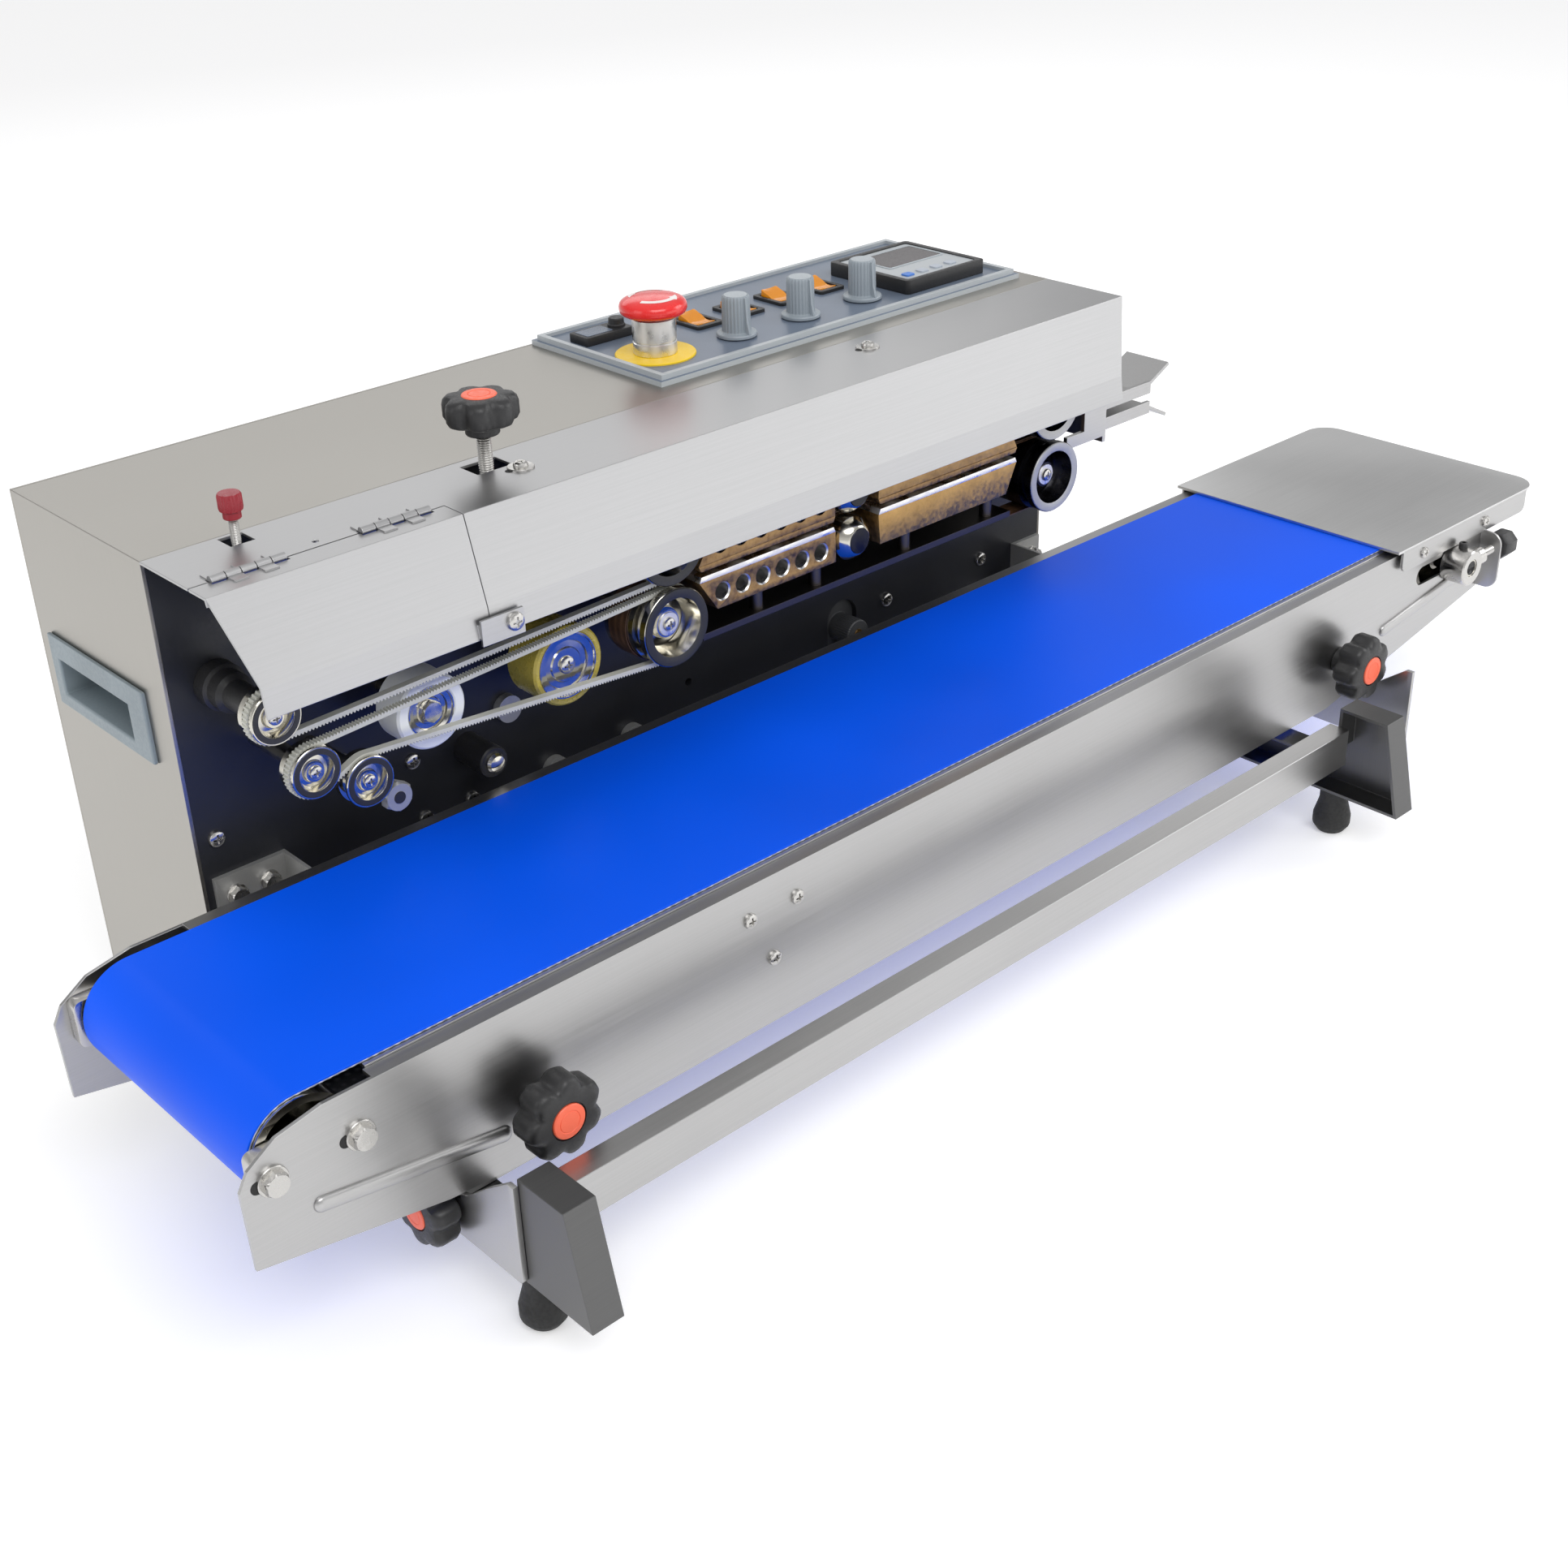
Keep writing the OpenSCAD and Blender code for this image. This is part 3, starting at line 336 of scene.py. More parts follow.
def make_materials():
    return {
        "steel_case": steel("steel_case", (0.385, 0.37, 0.34)),
        "steel_guard": steel("steel_guard", (0.455, 0.455, 0.458), 0.35),
        "steel_conveyor": steel("steel_conveyor", (0.455, 0.452, 0.45), 0.33),
        "steel_tray": steel("steel_tray", (0.64, 0.64, 0.635), 0.33),
        # The legs' steel is a much darker copy of the sheet steel: painted shade on the legs standing under the
        # conveyor.
        "leg_steel_painted_shade": steel("leg_steel_painted_shade", (0.13, 0.13, 0.13), 0.34),
        "black_wall": moulded("black_wall", (0.016, 0.017, 0.021), 0.36, 1200, 0.00002, 0.10,
                              Specular_IOR_Level=0.5),
        "zinc": polished("zinc", (0.54, 0.53, 0.51), 0.22),
        "chrome": polished("chrome", (0.58, 0.56, 0.50), 0.11),
        "dark_chrome": polished("dark_chrome", (0.035, 0.035, 0.04), 0.22),
        "brass": brassy("brass", (0.55, 0.345, 0.13), (0.33, 0.20, 0.075)),
        "bronze": brassy("bronze", (0.42, 0.27, 0.12), (0.17, 0.10, 0.05)),
        "strip": polished("strip", (0.78, 0.77, 0.75), 0.30),
        "matt_metal": moulded("matt_metal", (0.42, 0.42, 0.41), 0.42, 900, 0.00004, 0.08, Metallic=0.6),
        "band": woven("band", (0.05, 0.025, 0.012), (0.16, 0.085, 0.045), 0.8, 0.42),
        "guide_belt": moulded("guide_belt", (0.50, 0.50, 0.45), 0.6, 1500, 0.0002, 0.12),
        "yellow_pu": moulded("yellow_pu", (0.60, 0.48, 0.08), 0.28, 200, 0.00003, 0.1,
                             Transmission_Weight=0.25, IOR=1.5),
        "nylon": moulded("nylon", (0.78, 0.80, 0.80), 0.38, 500, 0.00004, 0.04, Subsurface_Weight=0.15,
                         Subsurface_Radius=(0.004, 0.004, 0.005)),
        "blue_belt": belt_blue("blue_belt", (0.0, 0.093, 0.84)),
        "belt_fabric": woven("belt_fabric", (0.22, 0.24, 0.30), (0.62, 0.64, 0.70), 0.9, 0.8),
        "grey_plastic": moulded("grey_plastic", (0.225, 0.27, 0.295), 0.42, 600),
        "panel_rim": moulded("panel_rim", (0.40, 0.44, 0.47), 0.40, 700),
        "panel_plastic": panel_skin("panel_plastic", (0.14, 0.175, 0.235), (0.42, 0.45, 0.47)),
        "knob_grey": moulded("knob_grey", (0.28, 0.32, 0.355), 0.36, 700, 0.00003),
        "black_plastic": moulded("black_plastic", (0.016, 0.016, 0.017), 0.42, 800, 0.0001, 0.2),
        "black_rubber": moulded("black_rubber", (0.014, 0.014, 0.014), 0.66, 500, 0.0002, 0.2),
        "amber": moulded("amber", (0.93, 0.33, 0.005), 0.16, 300, 0.00003, 0.12,
                         Transmission_Weight=0.2, IOR=1.5),
        "orange_cap": moulded("orange_cap", (0.90, 0.15, 0.075), 0.38, 600, 0.00004),
        "red_plastic": moulded("red_plastic", (0.78, 0.012, 0.012), 0.22, 300, 0.00002, 0.05,
                               Coat_Weight=0.4, Coat_Roughness=0.1),
        "dark_red": moulded("dark_red", (0.26, 0.012, 0.022), 0.32, 600, 0.0001, 0.15),
        "yellow_plate": moulded("yellow_plate", (0.88, 0.60, 0.02), 0.42, 500, 0.00003, 0.05),
        "white_mark": moulded("white_mark", (0.85, 0.80, 0.78), 0.4, 500, 0.00002),
        "ledge_steel": steel("ledge_steel", (0.10, 0.09, 0.085), 0.35),
        "motor_grey": moulded("motor_grey", (0.05, 0.052, 0.056), 0.5, 200, 0.0004, 0.2),
        "board": moulded("board", (0.015, 0.13, 0.04), 0.3, 900),
        "screen": moulded("screen", (0.050, 0.042, 0.045), 0.16, 900, 0.00001),
        "key_pale": moulded("key_pale", (0.42, 0.46, 0.52), 0.4, 900, 0.00003),
        "key_blue": moulded("key_blue", (0.06, 0.20, 0.62), 0.4, 900, 0.00003),
        "meter_face": moulded("meter_face", (0.12, 0.15, 0.20), 0.3, 900, 0.00002),
    }


# ------------------------------------------------------------------ mesh builders

UPRIGHT = Matrix.Identity(4)
FRONT = Matrix.Rotation(math.pi / 2, 4, "X")
BACK = Matrix.Rotation(-math.pi / 2, 4, "X")
RIGHT = Matrix.Rotation(math.pi / 2, 4, "Y")
LEFT = Matrix.Rotation(-math.pi / 2, 4, "Y")
ON_END = Matrix(((0, 0, 1, 0), (1, 0, 0, 0), (0, 1, 0, 0), (0, 0, 0, 1)))  # outlines in (y, z), thickness in x
SHARP = math.radians(32)


def mm(*values):
    return Vector(values) * MM


def add(name, bm, mat, node, at=(0, 0, 0), turn=UPRIGHT, bevel=0.0, replaces=False):
    """Turns a bmesh in millimetres into a piece that goes with a CAD node, and may stand in for it."""
    bmesh.ops.remove_doubles(bm, verts=bm.verts, dist=0.002)
    bmesh.ops.recalc_face_normals(bm, faces=bm.faces)
    if bevel:
        edges = [e for e in bm.edges if e.is_manifold and e.calc_face_angle(0) > SHARP]
        bmesh.ops.bevel(bm, geom=edges, offset=bevel, segments=2, profile=0.6, affect="EDGES",
                        clamp_overlap=True)
    bmesh.ops.scale(bm, vec=(MM, MM, MM), verts=bm.verts)
    mesh = bpy.data.meshes.new(name)
    bm.to_mesh(mesh)
    bm.free()
    mesh.shade_smooth()
    mesh.set_sharp_from_angle(angle=SHARP)
    mesh.materials.append(MATERIALS[mat])
    piece = bpy.data.objects.new(name, mesh)
    bpy.context.scene.collection.objects.link(piece)
    piece.matrix_world = Matrix.Translation(at) @ turn
    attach(piece, BODY_OF[node])
    if replaces:
        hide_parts(node)
    return piece


def loft(rings, closed=False, bm=None):
    """Skins a list of rings of equal length; closed joins the last ring to the first."""
    bm = bm or bmesh.new()
    grid = [[bm.verts.new(p) for p in ring] for ring in rings]
    pairs = list(zip(grid, grid[1:] + grid[:1] if closed else grid[1:]))
    for low, high in pairs:
        count = len(low)
        for i in range(count):
            k = (i + 1) % count
            bm.faces.new((low[i], low[k], high[k], high[i]))
    if not closed:
        for ring in (grid[0], grid[-1]):
            bm.faces.new(ring)
    return bm


def circle(radius, z, count=48, wobble=None):
    points = []
    for i in range(count):
        angle = 2 * math.pi * i / count
        r = radius * (wobble(angle) if wobble else 1)
        points.append((r * math.cos(angle), r * math.sin(angle), z))
    return points


def lathe(profile, count=56, bm=None):
    """Turns (radius, height) pairs about the local Z axis; the ends close on tiny discs."""
    return loft([circle(max(r, 0.02), z, count) for r, z in profile], bm=bm)


def ring_of(profile, count=56):
    """A closed (radius, height) section turned about Z: washers, tyres and rims."""
    return loft([circle(r, z, count) for r, z in profile], closed=True)


def polygonal(count):
    """Wobble that makes a circle's rim a polygon with this many sides."""
    half = math.pi / count
    return lambda angle: math.cos(half) / math.cos((angle + half) % (2 * half) - half)


def knurled(depth, count):
    """Wobble that cuts this many grooves round a circle's rim."""
    return lambda angle: 1 - depth * (0.5 + 0.5 * math.cos(count * angle))


def rounded(x0, y0, x1, y1, radii, count=6):
    """Rectangle's outline; radii are for the corners (x0,y0), (x1,y0), (x1,y1), (x0,y1)."""
    corners = ((x0, y0, 1, 1, 180), (x1, y0, -1, 1, 270), (x1, y1, -1, -1, 0), (x0, y1, 1, -1, 90))
    points = []
    for (x, y, sx, sy, start), r in zip(corners, radii):
        if r <= 0:
            points.append((x, y))
            continue
        for i in range(count + 1):
            angle = math.radians(start + 90 * i / count)
            points.append((x + sx * r + r * math.cos(angle), y + sy * r + r * math.sin(angle)))
    return points


def slab(outlines, z0, z1):
    """A flat sheet: the first outline is its edge and the others are holes."""
    bm = bmesh.new()
    edges = []
    for outline in outlines:
        verts = [bm.verts.new((x, y, z0)) for x, y in outline]
        edges += [bm.edges.new((a, b)) for a, b in zip(verts, verts[1:] + verts[:1])]
    made = bmesh.ops.triangle_fill(bm, use_beauty=True, use_dissolve=False, edges=edges)
    faces = [g for g in made["geom"] if isinstance(g, bmesh.types.BMFace)]
    raised = bmesh.ops.extrude_face_region(bm, geom=faces, use_keep_orig=True)
    tops = [g for g in raised["geom"] if isinstance(g, bmesh.types.BMVert)]
    bmesh.ops.translate(bm, vec=(0, 0, z1 - z0), verts=tops)
    bmesh.ops.dissolve_limit(bm, angle_limit=0.01, verts=bm.verts, edges=bm.edges)
    return bm


def disc_outline(x, y, r, count=24):
    return [(x + r * math.cos(2 * math.pi * i / count), y + r * math.sin(2 * math.pi * i / count))
            for i in range(count)]


def belt_path(stops, step):
    """Closed route round wheels, clockwise seen from the front. A stop is ((x, z), radius), and a negative
    radius is a wheel that the route's outer side touches. Gives (x, z, normal x, normal z) points."""
    angles = []
    for (a, ra), (b, rb) in zip(stops, stops[1:] + stops[:1]):
        d = Vector(b) - Vector(a)
        angles.append(math.atan2(d.y, d.x) + math.acos((ra - rb) / d.length))
    points = []
    for i, (centre, radius) in enumerate(stops):
        turn = (angles[i] - angles[i - 1]) % (2 * math.pi)
        turn = turn - 2 * math.pi if radius > 0 else turn
        parts = max(2, math.ceil(abs(turn * radius) / step))
        for k in range(parts + 1):
            angle = angles[i - 1] + turn * k / parts
            normal = Vector((math.cos(angle), math.sin(angle)))
            points.append((Vector(centre) + radius * normal, normal))
        end, radius_b = stops[(i + 1) % len(stops)]
        target = Vector(end) + radius_b * points[-1][1]
        start = points[-1][0]
        parts = max(1, math.ceil((target - start).length / step))
        points += [(start.lerp(target, k / parts), points[-1][1]) for k in range(1, parts)]
    return points


def even(path, count):
    """The same closed route at count equal steps."""
    ends = path[1:] + path[:1]
    lengths = [(b[0] - a[0]).length for a, b in zip(path, ends)]
    total = sum(lengths)
    result, index, walked = [], 0, 0.0
    for k in range(count):
        goal = total * k / count
        while walked + lengths[index] < goal:
            walked += lengths[index]
            index += 1
        share = (goal - walked) / max(lengths[index], 1e-9)
        a, b = path[index], ends[index]
        result.append((a[0].lerp(b[0], share), a[1].lerp(b[1], share).normalized()))
    return result


def sweep(path, section):
    """section(i) gives the (offset along the normal, y) points at step i of a closed route."""
    rings = []
    for i, (p, n) in enumerate(path):
        rings.append([(p.x + n.x * out, y, p.y + n.y * out) for out, y in section(i)])
    return loft(rings, closed=True)


def bar(points, width, height):
    """A pressed rib: half-round section along a straight line in the local XY plane, with rounded ends."""
    (ax, ay), (bx, by) = points
    along = Vector((bx - ax, by - ay))
    side = Vector((-along.y, along.x)).normalized()
    half = width / 2
    length = along.length
    rings = []
    for k in range(-8, 9):
        grow = math.sqrt(max(0.02, 1 - (k / 8) ** 2 * 0.98))
        place = half * (8 + k) / 8 if k < 0 else length - half + half * k / 8
        centre = Vector((ax, ay)) + along.normalized() * place
        ring = []
        for i in range(11):
            angle = math.pi * i / 10
            spot = centre + side * (math.cos(angle) * half * grow)
            ring.append((spot.x, spot.y, math.sin(angle) ** 0.8 * height * grow))
        rings.append(ring)
    return loft(rings)


def pan_head(radius, height):
    """Pan head with a tapered cross recess, on z = 0."""
    def cross(angle):
        return 1.0 if min(abs(math.sin(angle)), abs(math.cos(angle))) < 0.28 else 0.42

    dome = [circle(radius * grow, height * up, 32) for grow, up in ((1, 0), (1, 0.35), (0.9, 0.75), (0.66, 1))]
    recess = [circle(radius * grow, height * up, 32, cross) for grow, up in ((0.58, 1), (0.3, 0.35))]
    return loft(dome + recess)


def hex_head(radius, height, washer=0.0):
    """Hexagon head or nut with a chamfered top, on an optional washer."""
    bm = bmesh.new()
    base = 0.0
    if washer:
        lathe([(0, 0), (washer, 0), (washer, 1.1), (washer * 0.97, 1.4), (0, 1.4)], 40, bm)
        base = 1.4
    flat = polygonal(6)
    rings = [circle(radius, base, 36, flat), circle(radius, base + height * 0.82, 36, flat),
             circle(radius * 0.86, base + height, 36), circle(0.02, base + height, 36)]
    return loft(rings, bm=bm)


def star_knob(radius, height):
    """Seven-lobed hand grip standing on z = 0."""
    def lobes(angle):
        return 1 - 0.17 * (0.5 + 0.5 * math.cos(7 * angle)) ** 1.8

    levels = ((0.66, 0), (0.80, 0.4), (0.93, 1.6), (1.0, 4), (1.0, height - 4.5), (0.965, height - 2.2),
              (0.88, height - 0.6), (0.76, height), (0.5, height + 0.2), (0.46, height + 0.2),
              (0.45, height - 1))
    return loft([circle(radius * grow, z, 112, lobes if grow > 0.6 else None) for grow, z in levels])


def cap(radius, z):
    """Round insert that closes a hand grip, with a shallow ring pressed in its face."""
    return lathe([(0, z), (radius, z), (radius, z + 1.2), (radius * 0.95, z + 1.7), (radius * 0.66, z + 1.8),
                  (radius * 0.62, z + 1.5), (radius * 0.58, z + 1.8), (0, z + 1.9)], 48)


# ------------------------------------------------------------------ small parts used in many places

def thread(radius, z0, z1, pitch=1.25):
    """Turned profile of a screw thread between two heights."""
    count = int((z1 - z0) / pitch)
    profile = [(0, z0)]
    for i in range(count):
        profile += [(radius * 0.86, z0 + i * pitch), (radius, z0 + (i + 0.5) * pitch)]
    return profile + [(radius * 0.86, z0 + count * pitch), (0, z0 + count * pitch)]


def axis_of(node):
    """Where the joint of a node's body stands, or its middle where it slides, in metres."""
    lo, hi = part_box(node)
    return JOINT_AT.get(BODY_OF[node], (lo + hi) / 2)


def on_axis(node):
    """Where the axis of a wheel or roller crosses y = 0, in metres."""
    at = axis_of(node)
    return Vector((at.x, 0, at.z))


def pan_screw(name, node, at, turn, radius, height):
    return add(name, pan_head(radius, height), "zinc", node, at, turn)


def hex_bolt(name, node, at, turn, radius, height, washer=0.0):
    return add(name, hex_head(radius, height, washer), "zinc", node, at, turn)


# ------------------------------------------------------------------ carried-over CAD nodes

# The legs get a darker copy of the sheet steel, which is painted shade; the wall brackets get matt metal.
OWN_LOOK = {"leg_left": "leg_steel_painted_shade", "leg_right": "leg_steel_painted_shade", "wall_brackets": "matt_metal"}
BEVELS = {"steel_case": 0.5, "steel_guard": 0.6, "steel_conveyor": 0.5, "black_wall": 0.3, "zinc": 0.4,
          "panel_plastic": 0.8, "grey_plastic": 1.2, "ledge_steel": 0.3, "motor_grey": 0.8}


def dress_frame():
    """Gives every CAD node its material, and softened edges where sheet and castings show them."""
    for node, shown in NODES.items():
        slot = SLOT_OF[node]
        for holder in shown.material_slots:
            holder.material = MATERIALS[OWN_LOOK.get(node, slot)]
        if slot not in BEVELS:
            continue
        weld = shown.modifiers.new("weld", "WELD")
        weld.merge_threshold = 2e-6
        flat = shown.modifiers.new("flat", "DECIMATE")
        flat.decimate_type = "DISSOLVE"
        flat.angle_limit = math.radians(1)
        edge = shown.modifiers.new("edge", "BEVEL")
        edge.width = BEVELS[slot] * MM
        edge.segments = 3
        edge.limit_method = "ANGLE"
        edge.angle_limit = math.radians(38)
        edge.harden_normals = True
        shading = shown.modifiers.new("shading", "WEIGHTED_NORMAL")
        shading.keep_sharp = True


# ------------------------------------------------------------------ sealing head

def band_wheels():
    """Each has a dished face, a belt groove, a band drum, and a gear behind the wall."""
    body = [(0, 26), (8, 26), (9, 27.5), (9.4, 31), (14.6, 31.4), (16.5, 29), (19.2, 18.4), (22.4, 18),
            (23, 18.6), (23, 22.8), (19.6, 23.4), (19.6, 28.6), (23, 29.2), (23, 53.4), (22.4, 54), (6, 54),
            (6, 86), (22.4, 86), (22.4, 96), (6, 96), (6, 100), (0, 100)]
    face = [(17.2, 18.2), (19.3, 17.75), (22.3, 17.75), (22.7, 18.3), (19.5, 19.0)]
    washer = [(2, 25.2), (6.6, 25.2), (6.9, 25.6), (6.9, 26.2), (2, 26.2)]
    for node in ("lower_wheel_left", "upper_wheel_left", "lower_wheel_right", "upper_wheel_right"):
        at = on_axis(node)
        right = node.endswith("right")
        rim_mat, face_mat = ("dark_chrome", "matt_metal") if right else ("chrome", "black_plastic")
        add(node + "_rim", lathe(body, 72), rim_mat, node, at, BACK, replaces=True)
        add(node + "_face", ring_of(face, 72), face_mat, node, at, BACK)
        add(node + "_washer", ring_of(washer), "strip", node, at, BACK)
        pan_screw(node + "_screw", node, at + mm(0, 25.2, 0), FRONT, 4.0, 2.0)


def guide_pulleys():
    body = [(0, 22.5), (5, 22.5), (5.4, 23), (6, 25), (8.2, 25.2), (9.6, 21.4), (9.8, 21), (13.4, 21),
            (13.8, 21.4), (13.8, 22.8), (11.6, 23.3), (11.6, 28.7), (13.8, 29.2), (13.8, 33), (5, 33), (5, 90),
            (0, 90)]
    face = [(9.9, 20.7), (12.6, 20.7), (13.0, 21.1), (9.9, 21.1)]
    for node in ("upper_guide_pulley", "lower_guide_pulley", "guide_idler"):
        at = on_axis(node)
        add(node + "_rim", lathe(body), "chrome", node, at, BACK, replaces=True)
        add(node + "_face", ring_of(face), "black_plastic", node, at, BACK)
        pan_screw(node + "_screw", node, at + mm(0, 22.5, 0), FRONT, 3.6, 1.8)
    sleeve = [(5, 34), (7.4, 34), (7.9, 34.5), (7.9, 58), (10.6, 60), (10.6, 68), (12.4, 69), (12.4, 77.8),
              (5, 77.8)]
    node = "upper_guide_pulley"
    add(node + "_sleeve", ring_of(sleeve), "black_plastic", node, on_axis(node), BACK)


def soft_wheels():
    """The nylon wheel and the polyurethane press wheel."""
    sizes = (("nylon_wheel", "nylon", 20.8, 14, 54), ("press_wheel", "yellow_pu", 23, 19, 58))
    for node, tyre, radius, hub, back in sizes:
        at = on_axis(node)
        ring = [(hub, 33.8), (hub + 0.8, 33), (radius - 1.2, 33), (radius, 34.2), (radius, back - 1),
                (radius - 1, back), (hub, back)]
        add(node + "_tyre", ring_of(ring, 72), tyre, node, at, BACK, replaces=True)
        steps = [(0, 35), (hub * 0.5, 35), (hub * 0.54, 35.8), (hub * 0.72, 35.8), (hub * 0.75, 34.6),
                 (hub - 1.2, 34.2), (hub - 0.8, 33.4), (hub, 33.4), (hub, back), (5, back), (5, 78), (0, 78)]
        add(node + "_hub", lathe(steps), "chrome", node, at, BACK)
    hex_bolt("nylon_wheel_nut", "nylon_wheel", on_axis("nylon_wheel") + mm(0, 35, 0), FRONT, 6.2, 3.2)
    pan_screw("press_wheel_screw", "press_wheel", on_axis("press_wheel") + mm(0, 35, 0), FRONT, 5.0, 2.4)


def nip_rollers():
    body = [(0, 17), (7.6, 17), (8.2, 17.3), (9.2, 18), (13.3, 23.4), (13.6, 24.2), (13.6, 51.4), (13, 52),
            (5, 52), (5, 90), (0, 90)]
    face = [(0, 16.7), (7.5, 16.7), (7.9, 17.1), (0, 17.2)]
    for node in ("lower_nip_roller", "upper_nip_roller"):
        at = on_axis(node)
        add(node + "_drum", lathe(body, 64), "chrome", node, at, BACK, replaces=True)
        add(node + "_face", lathe(face), "dark_chrome", node, at, BACK)


def coupling():
    node = "drive_coupling"
    at = on_axis(node)
    sleeve = [(0, 54), (6, 52.2), (8.2, 52.2), (9, 53.2), (9, 99.4), (8.4, 100), (0, 100)]
    add("coupling_sleeve", lathe(sleeve), "black_plastic", node, at, BACK, replaces=True)
    tip = [(0, 48), (2.5, 48.2), (4.6, 49.1), (5.8, 50.9), (5.9, 55), (0, 55)]
    add("coupling_tip", lathe(tip, 24), "chrome", node, at, BACK)


def guide_belts():
    """Two toothed bag belts; the lower one is lifted over its idler."""
    front, back = (corner.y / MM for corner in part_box("guide_belts"))
    small, large, thick = 11.8, 19.8, 3.0

    def centre(node):
        return (axis_of(node).x / MM, axis_of(node).z / MM)

    routes = {
        "upper": [(centre("upper_guide_pulley"), small), (centre("upper_wheel_left"), large)],
        "lower": [(centre("lower_guide_pulley"), small), (centre("lower_wheel_left"), large),
                  (centre("guide_idler"), -small - thick)],
    }
    for name, stops in routes.items():
        path = even(belt_path(stops, 1.0), 4 * 300)

        def section(i):
            crown = thick if i % 4 < 2 else thick - 0.9
            return [(0, front), (crown, front), (crown, back), (0, back)]

        add("guide_belt_" + name, sweep(path, section), "guide_belt", "guide_belts", replaces=True)


def sealing_blocks():
    """Brass cooling and heating blocks, above and below the bag path, with their bright contact strips."""
    level, top, low, strip = 238.5, 237.0, 214.6, 3.4
    face = top - strip
    lining = [(5.8, 20), (4.9, 21), (4.9, 49), (5.8, 50)]
    for node, x0, x1, cut0, cut1, metal in (("cooling_blocks", -131.3, -26.3, 12.6, 0, "bronze"),
                                            ("heating_blocks", 9.4, 132.4, 1.2, 9.3, "brass")):
        body = [(x0, face), (x1, face), (x1 - cut1, low), (x0 + cut0, low)]
        edge = [(x0, face), (x0 + 1.5, top), (x1 - 1.5, top), (x1, face)]
        holes = [(x0 + 16.8 + 15.3 * i, face - 9.5) for i in range(6)] if node == "cooling_blocks" else []
        for side, way in (("lower", 1), ("upper", -1)):
            def place(outline):
                return [(x, level + way * (z - level)) for x, z in outline]

            rings = [disc_outline(x, level + way * (z - level), 5.7, 32) for x, z in holes]
            add(f"{node}_{side}", slab([place(body)] + rings, -50, -20), metal, node, turn=FRONT, bevel=0.35,
                replaces=True)
            strip_mat, strip_slot = ("strip", "chrome") if way > 0 else ("bronze", None)
            add(f"{node}_{side}_strip", slab([place(edge)], -50.2, -19.8), strip_mat, node, turn=FRONT,
                bevel=0.3)
            for i, (x, z) in enumerate(holes):
                add(f"{node}_{side}_hole_{i + 1}", ring_of(lining, 32), "strip", node,
                    mm(x, 0, level + way * (z - level)), BACK)


def wall_fittings():
    node = "case_screws"
    for i, (x, z) in enumerate(WALL_SCREWS):
        add(f"wall_screw_{i + 1}", pan_head(4.6, 2.6), "zinc", node, mm(x, WALL_Y, z), FRONT, replaces=True)
    for i, (x, y) in enumerate(((-224, 47.5), (41, 60))):
        washer = ring_of([(2, 0), (7.2, 0), (7.2, 0.7), (6.9, 1.0), (2, 1.0)])
        add(f"guard_washer_{i + 1}", washer, "zinc", node, mm(x, y, TOP_Z))
        add(f"guard_screw_{i + 1}", pan_head(4.0, 2.4), "zinc", node, mm(x, y, TOP_Z + 1))
        # A thin black sheet shaped like the guard's slot, laid on its top: painted shade standing in for the
        # opening.
        slot = slab([rounded(-9.5, -2.2, 0, 2.2, (2, 0, 0, 2))], 0, 0.12)
        add(f"guard_slot_painted_shade_{i + 1}", slot, "black_rubber", "guard_cover", mm(x, y, TOP_Z))
    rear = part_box("rear_panel")[1].y
    for x in (-410, -100, 212):
        for z in (45, 305):
            at = Vector((x * MM, rear, z * MM))
            add(f"rear_screw_{x + 500}_{z}", pan_head(3.8, 1.6), "zinc", node, at, BACK)
    node = "wall_brackets"
    add("stud_nut", hex_head(8.6, 6.2), "matt_metal", node, mm(-333.5, 30.1, 178.5), FRONT)
    end = lathe([(0, 0), (3.4, 0), (3.2, 0.5), (0, 0.5)], 24)
    add("stud_end", end, "black_plastic", node, mm(-333.5, 23.9, 178.5), FRONT)
    for name, x in (("left_low", -406.4), ("left_high", -387.2), ("right_low", 202.5), ("right_high", 214.2)):
        hex_bolt("bracket_bolt_" + name, node, mm(x, 75, 131), FRONT, 5.4, 4.4, 5.8)
    pan_screw("flap_lock_screw", "guard_flap", mm(-270, -1.2, 264), FRONT, 5.0, 2.7)


def brush_cap():
    at = mm(34, 63.4, 134)
    knurl = knurled(0.03, 36)
    rings = [circle(r, z, 144, knurl if r > 7 else None) for r, z in
             ((0.02, 0.2), (3.4, 0.2), (3.5, 0), (8.6, 0), (9.3, 0.7), (9.3, 13.6), (0.02, 13.6))]
    add("brush_cap", loft(rings), "motor_grey", "gearmotor", at, BACK)
    centre = [(0, -0.6), (3.2, -0.6), (3.4, -0.2), (3.4, 1), (0, 1)]
    add("brush_cap_centre", lathe(centre, 24), "brass", "gearmotor", at, BACK)


# ------------------------------------------------------------------ control panel

